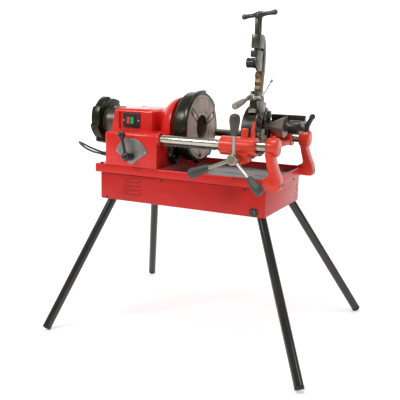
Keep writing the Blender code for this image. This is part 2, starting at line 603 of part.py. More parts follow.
# Cutter, standing raised above the rear rail
def make_cutter_frame():
    x_low, x_high = CUTTER_X - 0.014, CUTTER_X + 0.014
    jaw_z = 0.893
    spine = [(0.168, 0.790), (0.196, 0.788), (0.202, 0.850), (0.199, 0.914), (0.210, 0.975), (0.213, 1.030),
             (0.205, 1.075), (0.186, 1.1015), (0.130, 1.1015), (0.130, 1.052), (0.172, 1.052), (0.186, 1.038),
             (0.188, 0.990), (0.180, 0.940), (0.176, 0.903), (0.168, jaw_z), (0.128, jaw_z), (0.124, 0.850),
             (0.160, 0.835)]
    frame = piece("cutter_frame", slab_yz(spine, x_low, x_high), IRON, (CUTTER_X, *PIVOT))
    bevel(frame, 0.0025, 1, angle=30)
    half = 0.017
    block = box((CUTTER_X - half, 0.124, 1.051), (CUTTER_X + half, 0.178, 1.1025))
    upright = [e for e in block.edges if abs(e.verts[0].co.z - e.verts[1].co.z) > 0.01]
    bmesh.ops.bevel(block, geom=upright, offset=0.006, segments=2, profile=0.5, affect="EDGES", material=-1)
    join(frame, block)
    join(frame, cone((x_low + 0.0002, *PIVOT), (x_high - 0.0005, *PIVOT), 0.016, sides=24))
    foot = [(0.163, 0.768), (0.195, 0.768), (0.199, 0.800), (0.164, 0.800)]
    join(frame, slab_yz(foot, x_low + 0.0003, x_high - 0.0007))
    cut(frame, cone((0.12, *PIVOT), (0.18, *PIVOT), PIN_R + GAP, sides=20))
    cut(frame, cone((CUTTER_X, CUTTER_Y, 1.03), (CUTTER_X, CUTTER_Y, 1.13), 0.0141, sides=24))
    wheel_y, wheel_z = 0.142, 0.876
    cut(frame, box((CUTTER_X - 0.005, 0.110, wheel_z - 0.008 - 0.011), (CUTTER_X + 0.005, 0.1625, 0.90)))
    cut(frame, cone((0.12, wheel_y, wheel_z), (0.18, wheel_y, wheel_z), 0.0042, sides=16))
    disc = [(0, 0.0132), (0.0039, 0.0132), (0.0039, 0.0042), (0.0100, 0.0036), (0.0165, 0.0),
            (0.0100, -0.0036), (0.0039, -0.0042), (0.0039, -0.0132), (0, -0.0132)]
    turned("cutter_wheel", disc, STEEL, (CUTTER_X, wheel_y, wheel_z), steps=24, closed=False)


def make_cutter_slide():
    left, right = CUTTER_X - 0.0115, CUTTER_X + 0.0155
    slide = piece("cutter_slide", box((left, 0.108, 1.0180), (right, 0.172, 1.043)), IRON,
                  (CUTTER_X, CUTTER_Y, 1.043))
    cheek = right - 0.0078
    join(slide, slab_yz([(0.112, 1.020), (0.099, 1.008), (0.099, 0.990), (0.126, 0.966), (0.170, 0.966),
                         (0.170, 1.020)], cheek, right - 0.0003))
    half_roller = 0.0152
    for index, roller_y in enumerate((0.112, 0.158)):
        roller = ring(f"cutter_roller_{index + 1}", 0.0052, 0.0190, -half_roller, half_roller, BLACK,
                      centre=(roller_y, 0.9965), steps=24)
        roller.location.x = cheek - GAP - half_roller
        join(slide, cone((cheek - 2 * half_roller - 0.002, roller_y, 0.9965), (cheek + 0.002, roller_y, 0.9965),
                         0.0049, sides=16))
    stem = [(0, 0.123), (0.0135, 0.123), (0.0135, GAP), (0, GAP)]
    screw = turned("cutter_screw", stem, BLACK, (CUTTER_X, CUTTER_Y, 1.043), axis="Z", steps=24, closed=False)
    half_bar = Vector((0.0602, 0, 0.0079))
    middle = Vector((CUTTER_X + 0.003, CUTTER_Y, 1.1735))
    join(screw, cone(middle - half_bar, middle + half_bar, 0.0085, sides=16))
    join(screw, ball(middle - half_bar, 0.0105, sides=10))
    join(screw, ball(middle + half_bar, 0.0105, sides=10))
    join(screw, ball(middle - Vector((0.002, 0, 0.004)), 0.0150, sides=12))


# Reamer
def make_reamer():
    arm = piece("reamer_arm", cone((0.2625, *PIVOT), (0.2895, *PIVOT), 0.016, sides=24), IRON, (0.276, *PIVOT))
    join(arm, box((0.263, 0.082, 0.774), (0.289, 0.176, 0.798)))
    join(arm, box((0.2435, 0.080, 0.786), (0.371, 0.098, 0.814)))
    join(arm, box((0.346, -0.004, 0.766), (0.3805, 0.090, 0.7965)))
    join(arm, cone((0.340, 0, REAMER_Z), (0.3815, 0, REAMER_Z), 0.024, sides=24))
    cut(arm, cone((0.25, *PIVOT), (0.32, *PIVOT), PIN_R + GAP, sides=20))
    cut(arm, cone((0.33, 0, REAMER_Z), (0.42, 0, REAMER_Z), 0.0125, sides=24))
    blades = cone((0.243, 0, REAMER_Z), (0.326, 0, REAMER_Z), 0.0006, 0.0400, sides=12)
    rim = sorted((v for v in blades.verts if v.co.x > 0.3), key=lambda v: math.atan2(v.co.z - REAMER_Z, v.co.y))
    for index, vert in enumerate(rim):
        angle = math.radians(-173 + 30 * index)
        reach = 0.0345 if index % 2 else 0.0400
        vert.co.y, vert.co.z = reach * math.cos(angle), REAMER_Z + reach * math.sin(angle)
    reamer = piece("reamer", blades, STEEL, (0.326, 0, REAMER_Z))
    join(reamer, cone((0.320, 0, REAMER_Z), (0.3990, 0, REAMER_Z), 0.0120, sides=24))
    join(reamer, box((0.3960, -0.0085, 0.7640), (0.4135, 0.0080, 0.7950)))
    knob = Vector((0.4215, 0.0, 0.8170))
    join(reamer, cone((0.4060, 0, 0.7850), knob, 0.0088, 0.0080, sides=16))
    join(reamer, ball(knob, 0.0108, sides=12))


# Mains lead
def smooth_route(stops, spacing):
    """Read a smooth curve through the stops at even spacing."""
    dense = []
    for i in range(len(stops) - 1):
        before = stops[max(i - 1, 0)]
        start, end = stops[i], stops[i + 1]
        after = stops[min(i + 2, len(stops) - 1)]
        for step in range(16):
            t = step / 16
            dense.append(0.5 * (2 * start + (end - before) * t
                                + (2 * before - 5 * start + 4 * end - after) * t ** 2
                                + (3 * start - before - 3 * end + after) * t ** 3))
    dense.append(stops[-1])
    length = sum((b - a).length for a, b in zip(dense, dense[1:]))
    count = round(length / spacing)
    wanted = [length * i / count for i in range(count)]
    route, walked, mark = [], 0.0, 0
    for a, b in zip(dense, dense[1:]):
        stretch = (b - a).length
        while mark < count and wanted[mark] <= walked + stretch:
            route.append(a.lerp(b, (wanted[mark] - walked) / stretch))
            mark += 1
        walked += stretch
    return route + [dense[-1]]


CORD_ROUTE = [
    (-0.3353, -0.1750, 0.6500), (-0.3480, -0.1750, 0.6503), (-0.3720, -0.1740, 0.6535),
    (-0.4040, -0.1680, 0.6610), (-0.4370, -0.1560, 0.6715), (-0.4640, -0.1370, 0.6785),
    (-0.4790, -0.1110, 0.6760), (-0.4800, -0.0830, 0.6650), (-0.4670, -0.0570, 0.6500),
    (-0.4400, -0.0370, 0.6360), (-0.4080, -0.0230, 0.6265), (-0.3750, -0.0080, 0.6205),
    (-0.3480, 0.0180, 0.6195), (-0.3365, 0.0550, 0.6194), (-0.3360, 0.0900, 0.6194),
    (-0.3360, 0.1170, 0.6194)]


def make_cord():
    gland_profile = [(0.0060, 0.0347), (0.0075, 0.0250), (0.0085, 0.0090), (0.0120, 0.0085), (0.0120, GAP),
                     (0.0045, GAP), (0.0045, 0.0347)]
    gland = turned("cord_gland", gland_profile, RUBBER, (HEAD_LEFT, -0.175, 0.650), steps=14)
    gland.rotation_euler = (0, -math.pi / 2, 0)
    curve = bpy.data.curves.new("power_cord", "CURVE")
    curve.dimensions = "3D"
    curve.bevel_depth = CORD_R
    curve.bevel_resolution = 2
    curve.use_fill_caps = True
    route = smooth_route([Vector(stop) for stop in CORD_ROUTE], 0.0095)
    line = curve.splines.new("POLY")
    line.points.add(len(route) - 1)
    for place, point in zip(line.points, route):
        place.co = (*point, 1)
    curve.materials.append(GREY)
    cord = bpy.data.objects.new("power_cord", curve)
    cord.parent = machine
    parts.objects.link(cord)
    bottom = PAN_Z[1] + GAP
    profile = [(0.050, 0.0245), (0.050, 0), (0.034, 0), (0.034, 0.0245)]
    turned("cord_coil", profile, GREY, (*COIL_CENTRE, bottom), axis="Z", steps=32)
    plug = piece("power_plug", box((-0.215, 0.150, bottom), (-0.172, 0.188, bottom + 0.030)), RUBBER,
                 (-0.2, 0.17, bottom))
    bevel(plug, 0.006, 2)
    join(plug, cone((-0.2385, 0.169, bottom + 0.0145), (-0.213, 0.169, bottom + 0.0145), 0.0055, 0.0085, sides=16))
    for side in (-1, 1):
        pin_y = 0.169 + 0.0095 * side
        join(plug, cone((-0.174, pin_y, bottom + 0.015), (-0.153, pin_y, bottom + 0.015), 0.0024, sides=12))


make_cabinet()
make_drain_plug()
make_legs()
make_pan()
make_tray()
make_housing()
make_bushes()
make_spindle()
make_gear_train()
make_oil_pump()
make_chuck()
make_chuck_ring()
make_rear_chuck()
make_switch()
make_gear_lever()
make_rails()
make_carriage()
make_feed()
make_die_head()
make_die_levers()
make_cutter_frame()
make_cutter_slide()
make_reamer()
make_cord()
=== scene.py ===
"""Pipe threading machine on its tube stand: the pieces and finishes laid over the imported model."""
import math

import bmesh
import bpy
from mathutils import Matrix, Vector


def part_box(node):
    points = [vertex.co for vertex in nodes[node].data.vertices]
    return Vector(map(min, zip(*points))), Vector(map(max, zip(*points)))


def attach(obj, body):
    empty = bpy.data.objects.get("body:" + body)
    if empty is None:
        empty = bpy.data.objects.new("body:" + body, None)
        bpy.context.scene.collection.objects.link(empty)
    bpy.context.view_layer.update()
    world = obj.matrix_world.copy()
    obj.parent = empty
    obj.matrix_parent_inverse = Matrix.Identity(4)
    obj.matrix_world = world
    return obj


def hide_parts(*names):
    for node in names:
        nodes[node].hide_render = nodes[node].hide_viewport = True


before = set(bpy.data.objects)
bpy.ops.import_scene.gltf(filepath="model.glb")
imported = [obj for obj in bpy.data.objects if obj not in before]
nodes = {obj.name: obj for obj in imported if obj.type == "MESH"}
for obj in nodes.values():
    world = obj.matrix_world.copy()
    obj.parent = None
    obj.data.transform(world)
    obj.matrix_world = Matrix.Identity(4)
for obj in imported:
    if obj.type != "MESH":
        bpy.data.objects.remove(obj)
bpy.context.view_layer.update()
scene = bpy.context.scene


# Main sizes, in the machine's own frame: x counts from the middle of the cabinet
def size_of(node):
    low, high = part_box(node)
    return Vector(low), Vector(high)


cab_low, cab_high = size_of("cabinet")
SHIFT = (cab_low.x + cab_high.x) / 2
CAB_X = (cab_high.x - cab_low.x) / 2
CAB_Y = (cab_high.y - cab_low.y) / 2
pan_low, pan_high = size_of("base_pan")
PAN_X = (pan_high.x - pan_low.x) / 2
PAN_Y = (pan_high.y - pan_low.y) / 2
spin_low, spin_high = size_of("spindle")
AXIS_Z = (spin_low.z + spin_high.z) / 2
SPINDLE_R = (spin_high.z - spin_low.z) / 2
rail_low, rail_high = size_of("rear_rail")
RAIL_R = (rail_high.z - rail_low.z) / 2
RAIL_Y = (rail_low.y + rail_high.y) / 2
RAIL_Z = (rail_low.z + rail_high.z) / 2
RAIL_END = rail_high.x - SHIFT
HEAD_LEFT, HEAD_FRONT, HEAD_BACK = -0.300, -0.203, 0.092
BULKHEAD = -0.079
LEDGE_Z, HOOD_Z, HOOD_Y = 0.738, 0.818, 0.106
PIVOT = (0.179, 0.768)
CUTTER = (0.151, 0.150)
REAMER_Z = 0.777
PIN_BORE = 0.0083
WHEEL_Z = 0.681
CORD_EXIT = (-0.175, 0.650)
GLAND_REACH = 0.0347


# Camera
def aim_camera():
    yaw, pitch, roll = 0.4516, 0.2031, 0.0241
    back = Vector((math.sin(yaw) * math.cos(pitch), -math.cos(yaw) * math.cos(pitch), math.sin(pitch)))
    right = (-back).cross(Vector((0, 0, 1))).normalized()
    up = right.cross(-back)
    side = right * math.cos(roll) + up * math.sin(roll)
    top = up * math.cos(roll) - right * math.sin(roll)
    data = bpy.data.cameras.new("camera")
    data.lens = 56.98
    data.sensor_width = 36
    camera = bpy.data.objects.new("camera", data)
    turn = Matrix((side, top, back)).transposed().to_4x4()
    camera.matrix_world = Matrix.Translation((1.0387 + SHIFT, -2.1445, 0.9676)) @ turn
    scene.collection.objects.link(camera)
    scene.camera = camera


# Shader groups
def new_group(name, inputs, outputs):
    group = bpy.data.node_groups.new(name, "ShaderNodeTree")
    for label, kind, value in inputs:
        socket = group.interface.new_socket(label, in_out="INPUT", socket_type=kind)
        socket.default_value = value
    for label, kind in outputs:
        group.interface.new_socket(label, in_out="OUTPUT", socket_type=kind)
    return group, group.nodes.new("NodeGroupInput"), group.nodes.new("NodeGroupOutput")


def add_node(tree, kind, values=None, **settings):
    node = tree.nodes.new(kind)
    for name, value in settings.items():
        setattr(node, name, value)
    for socket, value in (values or {}).items():
        node.inputs[socket].default_value = value
    return node


def noise_node(tree, scale, detail=4.0, roughness=0.55):
    return add_node(tree, "ShaderNodeTexNoise", {"Scale": scale, "Detail": detail, "Roughness": roughness})


def build_tone():
    """Slow colour drift, fine specks and a bump height, in the grain's direction."""
    group, into, out = new_group(
        "surface_tone",
        (("Vector", "NodeSocketVector", (0, 0, 0)), ("Colour", "NodeSocketColor", (0.5, 0.5, 0.5, 1)),
         ("Shade", "NodeSocketColor", (0.3, 0.3, 0.3, 1)), ("Drift Scale", "NodeSocketFloat", 9.0),
         ("Drift", "NodeSocketFloat", 0.5), ("Grain Scale", "NodeSocketFloat", 300.0),
         ("Grain", "NodeSocketFloat", 0.2), ("Roughness", "NodeSocketFloat", 0.4),
         ("Spread", "NodeSocketFloat", 0.15)),
        (("Colour", "NodeSocketColor"), ("Roughness", "NodeSocketFloat"), ("Height", "NodeSocketFloat")))
    links = group.links
    drift = noise_node(group, 9.0, 5.0, 0.6)
    grain = noise_node(group, 300.0, 3.0, 0.6)
    for noise, label in ((drift, "Drift Scale"), (grain, "Grain Scale")):
        links.new(into.outputs["Vector"], noise.inputs["Vector"])
        links.new(into.outputs[label], noise.inputs["Scale"])
    ramp = add_node(group, "ShaderNodeMapRange", {"From Min": 0.38, "From Max": 0.68})
    links.new(drift.outputs["Fac"], ramp.inputs["Value"])
    amount = add_node(group, "ShaderNodeMath", operation="MULTIPLY")
    links.new(ramp.outputs["Result"], amount.inputs[0])
    links.new(into.outputs["Drift"], amount.inputs[1])
    tint = add_node(group, "ShaderNodeMix", data_type="RGBA")
    links.new(amount.outputs[0], tint.inputs["Factor"])
    links.new(into.outputs["Colour"], tint.inputs["A"])
    links.new(into.outputs["Shade"], tint.inputs["B"])
    speck_fac = add_node(group, "ShaderNodeMath", operation="MULTIPLY")
    links.new(grain.outputs["Fac"], speck_fac.inputs[0])
    links.new(into.outputs["Grain"], speck_fac.inputs[1])
    speck = add_node(group, "ShaderNodeMix", data_type="RGBA")
    links.new(speck_fac.outputs[0], speck.inputs["Factor"])
    links.new(tint.outputs["Result"], speck.inputs["A"])
    links.new(into.outputs["Shade"], speck.inputs["B"])
    links.new(speck.outputs["Result"], out.inputs["Colour"])
    swing = add_node(group, "ShaderNodeMath", {1: 0.5}, operation="SUBTRACT")
    links.new(drift.outputs["Fac"], swing.inputs[0])
    rough = add_node(group, "ShaderNodeMath", operation="MULTIPLY_ADD", use_clamp=True)
    links.new(swing.outputs[0], rough.inputs[0])
    links.new(into.outputs["Spread"], rough.inputs[1])
    links.new(into.outputs["Roughness"], rough.inputs[2])
    links.new(rough.outputs[0], out.inputs["Roughness"])
    links.new(grain.outputs["Fac"], out.inputs["Height"])
    return group


def build_wear_and_highlight():
    """A mask of rubbed edges, which on the reamer cone also paints a highlight along the flute ridges: where
    the rounded normal leaves the face's own, broken up by noise.
    """
    group, into, out = new_group(
        "edge_wear_and_highlight",
        (("Vector", "NodeSocketVector", (0, 0, 0)), ("Radius", "NodeSocketFloat", 0.0015),
         ("Amount", "NodeSocketFloat", 0.5)),
        (("Mask", "NodeSocketFloat"),))
    links = group.links
    bevel = add_node(group, "ShaderNodeBevel", samples=4)
    links.new(into.outputs["Radius"], bevel.inputs["Radius"])
    shape = add_node(group, "ShaderNodeNewGeometry")
    dot = add_node(group, "ShaderNodeVectorMath", operation="DOT_PRODUCT")
    links.new(bevel.outputs["Normal"], dot.inputs[0])
    links.new(shape.outputs["Normal"], dot.inputs[1])
    edge = add_node(group, "ShaderNodeMapRange", {"From Min": 0.985, "From Max": 0.90})
    links.new(dot.outputs["Value"], edge.inputs["Value"])
    patch = noise_node(group, 60.0, 5.0, 0.7)
    links.new(into.outputs["Vector"], patch.inputs["Vector"])
    worn_and_highlit = add_node(group, "ShaderNodeMapRange", {"From Min": 0.46, "From Max": 0.62})
    links.new(patch.outputs["Fac"], worn_and_highlit.inputs["Value"])
    both = add_node(group, "ShaderNodeMath", operation="MULTIPLY")
    links.new(edge.outputs["Result"], both.inputs[0])
    links.new(worn_and_highlit.outputs["Result"], both.inputs[1])
    mask = add_node(group, "ShaderNodeMath", operation="MULTIPLY", use_clamp=True)
    links.new(both.outputs[0], mask.inputs[0])
    links.new(into.outputs["Amount"], mask.inputs[1])
    links.new(mask.outputs[0], out.inputs["Mask"])
    return group


TONE = build_tone()
EDGE_WEAR_AND_HIGHLIGHT = build_wear_and_highlight()


def finish(name, colour, shade, roughness=0.4, metallic=0.0, drift=0.5, drift_scale=9.0, grain=0.15,
           grain_scale=300.0, stretch=(1, 1, 1), bump=0.15, spread=0.2, coat=0.0, wear_and_highlight=0.0,
           wear_and_highlight_colour=(0.3, 0.28, 0.26), wear_and_highlight_metal=0.8, ior=1.5):
    made = bpy.data.materials.new(name)
    made.use_nodes = True
    tree = made.node_tree
    links = tree.links
    shader = tree.nodes["Principled BSDF"]
    shader.inputs["Metallic"].default_value = metallic
    shader.inputs["IOR"].default_value = ior
    shader.inputs["Coat Weight"].default_value = coat
    shader.inputs["Coat Roughness"].default_value = 0.08
    place = add_node(tree, "ShaderNodeTexCoord")
    turn = add_node(tree, "ShaderNodeMapping", {"Scale": stretch})
    links.new(place.outputs["Object"], turn.inputs["Vector"])
    tone = add_node(tree, "ShaderNodeGroup", node_tree=TONE)
    links.new(turn.outputs["Vector"], tone.inputs["Vector"])
    values = {"Colour": (*colour, 1), "Shade": (*shade, 1), "Drift Scale": drift_scale, "Drift": drift,
              "Grain Scale": grain_scale, "Grain": grain, "Roughness": roughness, "Spread": spread}
    for label, value in values.items():
        tone.inputs[label].default_value = value
    bumped = add_node(tree, "ShaderNodeBump", {"Strength": bump, "Distance": 0.0006})
    links.new(tone.outputs["Height"], bumped.inputs["Height"])
    links.new(bumped.outputs["Normal"], shader.inputs["Normal"])
    links.new(tone.outputs["Roughness"], shader.inputs["Roughness"])
    if wear_and_highlight <= 0:
        links.new(tone.outputs["Colour"], shader.inputs["Base Color"])
        return made
    # Edge mask colour: rubbed edges, and on the reamer cone a painted highlight along the flute ridges.
    worn_and_highlit = add_node(tree, "ShaderNodeGroup", {"Amount": wear_and_highlight}, node_tree=EDGE_WEAR_AND_HIGHLIGHT)
    links.new(place.outputs["Object"], worn_and_highlit.inputs["Vector"])
    mix = add_node(tree, "ShaderNodeMix", data_type="RGBA")
    mix.inputs["B"].default_value = (*wear_and_highlight_colour, 1)
    links.new(worn_and_highlit.outputs["Mask"], mix.inputs["Factor"])
    links.new(tone.outputs["Colour"], mix.inputs["A"])
    links.new(mix.outputs["Result"], shader.inputs["Base Color"])
    if metallic < wear_and_highlight_metal:
        edge_metal = add_node(tree, "ShaderNodeMath", {1: wear_and_highlight_metal - metallic}, operation="MULTIPLY")
        links.new(worn_and_highlit.outputs["Mask"], edge_metal.inputs[0])
        sum_up = add_node(tree, "ShaderNodeMath", {1: metallic}, operation="ADD")
        links.new(edge_metal.outputs[0], sum_up.inputs[0])
        links.new(sum_up.outputs[0], shader.inputs["Metallic"])
    return made


RED = finish("red_sheet_enamel", (0.56, 0.014, 0.010), (0.40, 0.007, 0.006), 0.30, drift=0.6, drift_scale=6,
             grain=0.05, grain_scale=420, bump=0.05, coat=0.05, wear_and_highlight=0.25, wear_and_highlight_colour=(0.30, 0.05, 0.04),
             ior=1.36)
LIP = finish("red_lip_enamel", (0.62, 0.016, 0.011), (0.46, 0.009, 0.008), 0.27, drift=0.5, drift_scale=8,
             grain=0.06, grain_scale=380, bump=0.08, coat=0.08, wear_and_highlight=0.35, wear_and_highlight_colour=(0.75, 0.20, 0.14),
             wear_and_highlight_metal=0.1, ior=1.36)
CAST_RED = finish("red_casting_enamel", (0.72, 0.022, 0.014), (0.52, 0.010, 0.008), 0.26, drift=0.55,
                  drift_scale=11, grain=0.10, grain_scale=210, bump=0.22, coat=0.15, wear_and_highlight=0.45,
                  wear_and_highlight_colour=(0.80, 0.28, 0.20), wear_and_highlight_metal=0.05, ior=1.40)
ORANGE = finish("orange_red_casting", (0.76, 0.050, 0.022), (0.56, 0.016, 0.009), 0.30, drift=0.6,
                drift_scale=12, grain=0.10, grain_scale=200, bump=0.25, coat=0.2, wear_and_highlight=0.5,
                wear_and_highlight_colour=(0.85, 0.36, 0.24), wear_and_highlight_metal=0.05, ior=1.40)
# Black enamel: the slight olive in its shade colour is a painted yellow-green reflection of the surroundings.
BLACK = finish("black_enamel", (0.006, 0.0065, 0.005), (0.016, 0.017, 0.010), 0.17, drift=0.5, drift_scale=14,
               grain=0.1, grain_scale=260, bump=0.08, coat=0.15, wear_and_highlight=0.4, wear_and_highlight_colour=(0.07, 0.07, 0.045),
               wear_and_highlight_metal=0.3)
# Hand ring enamel: the olive shade tone and the yellowish specular tint are a painted yellow-green reflection
# of the surroundings.
RING_BLACK_PAINTED_REFLECTION = finish("ring_enamel_painted_reflection", (0.006, 0.0062, 0.004), (0.014, 0.014, 0.008), 0.26, drift=0.6,
                    drift_scale=14,
                    grain=0.2, bump=0.12, ior=1.42)
RING_BLACK_PAINTED_REFLECTION.node_tree.nodes["Principled BSDF"].inputs["Specular Tint"].default_value = (0.85, 0.85, 0.62, 1)
LEG_BLACK = finish("leg_enamel", (0.010, 0.0105, 0.007), (0.022, 0.021, 0.014), 0.22, drift=0.6,
                   drift_scale=10,
                   grain=0.1, grain_scale=300, bump=0.05, coat=0.15)
RUBBER = finish("black_rubber", (0.010, 0.010, 0.0095), (0.020, 0.020, 0.018), 0.60, drift=0.6,
                drift_scale=30,
                grain=0.3, grain_scale=600, bump=0.3)
GRIP = finish("grey_grip", (0.055, 0.050, 0.046), (0.030, 0.028, 0.026), 0.46, drift=0.6, drift_scale=26,
              grain=0.3, grain_scale=700, bump=0.3, wear_and_highlight=0.2, wear_and_highlight_colour=(0.13, 0.13, 0.12), wear_and_highlight_metal=0)
PANEL = finish("switch_black", (0.010, 0.010, 0.010), (0.020, 0.020, 0.020), 0.42, drift=0.5, drift_scale=40,
               grain=0.2, grain_scale=600, bump=0.15, wear_and_highlight=0.2, wear_and_highlight_colour=(0.06, 0.06, 0.06), wear_and_highlight_metal=0)
CHROME = finish("bright_chrome", (0.56, 0.53, 0.44), (0.34, 0.31, 0.25), 0.22, 1.0, drift=0.7, drift_scale=16,
                grain=0.1, grain_scale=500, stretch=(0.2, 1, 1), bump=0.05)
SATIN = finish("satin_chrome", (0.44, 0.42, 0.36), (0.24, 0.23, 0.19), 0.30, 1.0, drift=0.6, drift_scale=30,
               grain=0.2, grain_scale=500, bump=0.12, wear_and_highlight=0.3, wear_and_highlight_colour=(0.8, 0.79, 0.72))
CHUCK_STEEL = finish("turned_chuck_steel", (0.50, 0.40, 0.34), (0.26, 0.195, 0.16), 0.42, 0.7, drift=0.8,
                     drift_scale=12, grain=0.35, grain_scale=190, stretch=(1, 1.6, 0.35), bump=0.25,
                     wear_and_highlight=0.5, wear_and_highlight_colour=(0.62, 0.58, 0.52))
JAW_STEEL = finish("ground_jaw_steel", (0.42, 0.36, 0.31), (0.17, 0.14, 0.115), 0.30, 0.95, drift=0.8,
                   drift_scale=40, grain=0.3, grain_scale=500, bump=0.2, wear_and_highlight=0.8,
                   wear_and_highlight_colour=(0.8, 0.77, 0.7))
DARK_STEEL = finish("dark_turned_steel", (0.14, 0.125, 0.105), (0.06, 0.055, 0.045), 0.36, 0.9, drift=0.6,
                    drift_scale=20, grain=0.3, grain_scale=400, stretch=(1, 0.3, 0.3), bump=0.2, wear_and_highlight=0.7,
                    wear_and_highlight_colour=(0.55, 0.54, 0.5))
IRON = finish("blackened_iron", (0.060, 0.058, 0.050), (0.018, 0.018, 0.015), 0.34, 0.75, drift=0.9,
              drift_scale=36, grain=0.3, grain_scale=300, bump=0.35, wear_and_highlight=0.8, wear_and_highlight_colour=(0.36, 0.35, 0.31))
GUNMETAL = finish("gunmetal", (0.130, 0.120, 0.098), (0.032, 0.031, 0.024), 0.30, 0.85, drift=0.9,
                  drift_scale=44, grain=0.25, grain_scale=320, bump=0.25, wear_and_highlight=0.8,
                  wear_and_highlight_colour=(0.45, 0.43, 0.37))
PLATE_GREY = finish("oiled_grey_steel", (0.27, 0.265, 0.235), (0.12, 0.12, 0.10), 0.34, 0.5, drift=0.8,
                    drift_scale=60, grain=0.35, grain_scale=500, bump=0.2)
PALE_BRASS = finish("pale_brass", (0.36, 0.35, 0.20), (0.20, 0.20, 0.11), 0.38, 0.5, drift=0.8,
                    drift_scale=60,
                    grain=0.3, grain_scale=400, bump=0.2)
OLIVE = finish("olive_black_enamel", (0.032, 0.034, 0.016), (0.010, 0.011, 0.006), 0.26, drift=0.8,
               drift_scale=50, grain=0.2, grain_scale=300, bump=0.15, coat=0.2, wear_and_highlight=0.5,
               wear_and_highlight_colour=(0.16, 0.16, 0.09), wear_and_highlight_metal=0.3)
WAY = finish("brown_guide_way", (0.30, 0.20, 0.095), (0.13, 0.085, 0.04), 0.42, 0.65, drift=0.9,
             drift_scale=50,
             grain=0.35, grain_scale=260, stretch=(1, 1, 0.3), bump=0.25, wear_and_highlight=0.5,
             wear_and_highlight_colour=(0.45, 0.34, 0.2))
HUB_FACE = finish("oiled_hub_face", (0.30, 0.28, 0.18), (0.16, 0.15, 0.10), 0.32, 0.9, drift=0.8,
                  drift_scale=60,
                  grain=0.3, grain_scale=400, bump=0.2)
ALUMINIUM = finish("brushed_aluminium", (0.36, 0.33, 0.31), (0.16, 0.14, 0.13), 0.42, 0.6, drift=0.8,
                   drift_scale=26, grain=0.5, grain_scale=260, stretch=(1, 1, 0.3), bump=0.25, wear_and_highlight=0.5,
                   wear_and_highlight_colour=(0.6, 0.6, 0.57))
LEVER_GREY = finish("pale_grey_lever", (0.40, 0.37, 0.32), (0.24, 0.22, 0.19), 0.38, 0.5, drift=0.7,
                    drift_scale=30, grain=0.25, grain_scale=400, bump=0.15, wear_and_highlight=0.4,
                    wear_and_highlight_colour=(0.7, 0.68, 0.62))
# Reamer steel: the ivory edge colour along the cone's flute ridges is a painted highlight, not wear.
REAMER_STEEL = finish("reamer_steel", (0.30, 0.25, 0.22), (0.14, 0.115, 0.10), 0.34, 0.45, drift=0.8,
                      drift_scale=20, grain=0.2, grain_scale=260, stretch=(0.25, 1, 1), bump=0.1, wear_and_highlight=0.9,
                      wear_and_highlight_colour=(0.9, 0.86, 0.72))
TRAY = finish("oily_tray_iron", (0.028, 0.027, 0.024), (0.075, 0.066, 0.050), 0.40, 0.3, drift=0.9,
              drift_scale=18,
              grain=0.3, grain_scale=180, bump=0.3)
BRONZE = finish("bronze", (0.46, 0.29, 0.11), (0.30, 0.18, 0.07), 0.34, 0.95, drift=0.5, grain=0.2)
CORD_GREY = finish("cord_jacket", (0.040, 0.038, 0.034), (0.022, 0.021, 0.019), 0.48, drift=0.5,
                   drift_scale=40,
                   grain=0.2, grain_scale=600, bump=0.12)
STOP = finish("stop_red", (0.72, 0.030, 0.018), (0.50, 0.012, 0.010), 0.34, drift=0.4, drift_scale=120,
              grain=0.1, coat=0.1)
GO = finish("start_green", (0.02, 0.46, 0.09), (0.015, 0.30, 0.05), 0.34, drift=0.4, drift_scale=120,
            grain=0.1, coat=0.1)
SCREW = finish("zinc_screw", (0.55, 0.53, 0.47), (0.30, 0.29, 0.25), 0.28, 1.0, drift=0.6, drift_scale=200,
               grain=0.2, grain_scale=900, wear_and_highlight=0.5, wear_and_highlight_colour=(0.85, 0.84, 0.8))


# Shapes
def from_mesh(mesh):
    bm = bmesh.new()
    bm.from_mesh(mesh)
    bpy.data.meshes.remove(mesh)
    return bm


def to_object(bm):
    mesh = bpy.data.meshes.new("work")
    bm.to_mesh(mesh)
    bm.free()
    work = bpy.data.objects.new("work", mesh)
    scene.collection.objects.link(work)
    return work


def tidy(bm, recalculate=True):
    bmesh.ops.remove_doubles(bm, verts=bm.verts, dist=1e-6)
    if recalculate:
        bmesh.ops.recalc_face_normals(bm, faces=bm.faces)
    return bm


def combine(bm, tools, operation):
    """Boolean the tools with a shape, one after another."""
    target = to_object(bm)
    helpers = [to_object(tool) for tool in tools]
    for helper in helpers:
        change = target.modifiers.new("work", "BOOLEAN")
        change.operation = operation
        change.object = helper
        change.solver = "EXACT"
    graph = bpy.context.evaluated_depsgraph_get()
    result = bpy.data.meshes.new_from_object(target.evaluated_get(graph))
    for used in [target, *helpers]:
        mesh = used.data
        bpy.data.objects.remove(used)
        bpy.data.meshes.remove(mesh)
    return tidy(from_mesh(result), False)


def carve(bm, *tools):
    return combine(bm, tools, "DIFFERENCE")


def fuse(bm, *tools):
    return combine(bm, tools, "UNION")


def gather(*shapes):
    """Put closed shapes in one mesh as they are."""
    whole = bmesh.new()
    for shape in shapes:
        mesh = bpy.data.meshes.new("work")
        shape.to_mesh(mesh)
        shape.free()
        whole.from_mesh(mesh)
        bpy.data.meshes.remove(mesh)
    return whole


def soften(bm, width, segments=3, sharper=30.0, wanted=None):
    """Round the edges that are sharper than an angle."""
    limit = math.radians(sharper)
    chosen = [e for e in bm.edges if len(e.link_faces) == 2 and e.calc_face_angle(0) > limit
              and (wanted is None or wanted((e.verts[0].co + e.verts[1].co) / 2))]
    bmesh.ops.bevel(bm, geom=chosen, offset=width, segments=segments, profile=0.5, affect="EDGES",
                    material=-1,
                    clamp_overlap=True)
    return bm


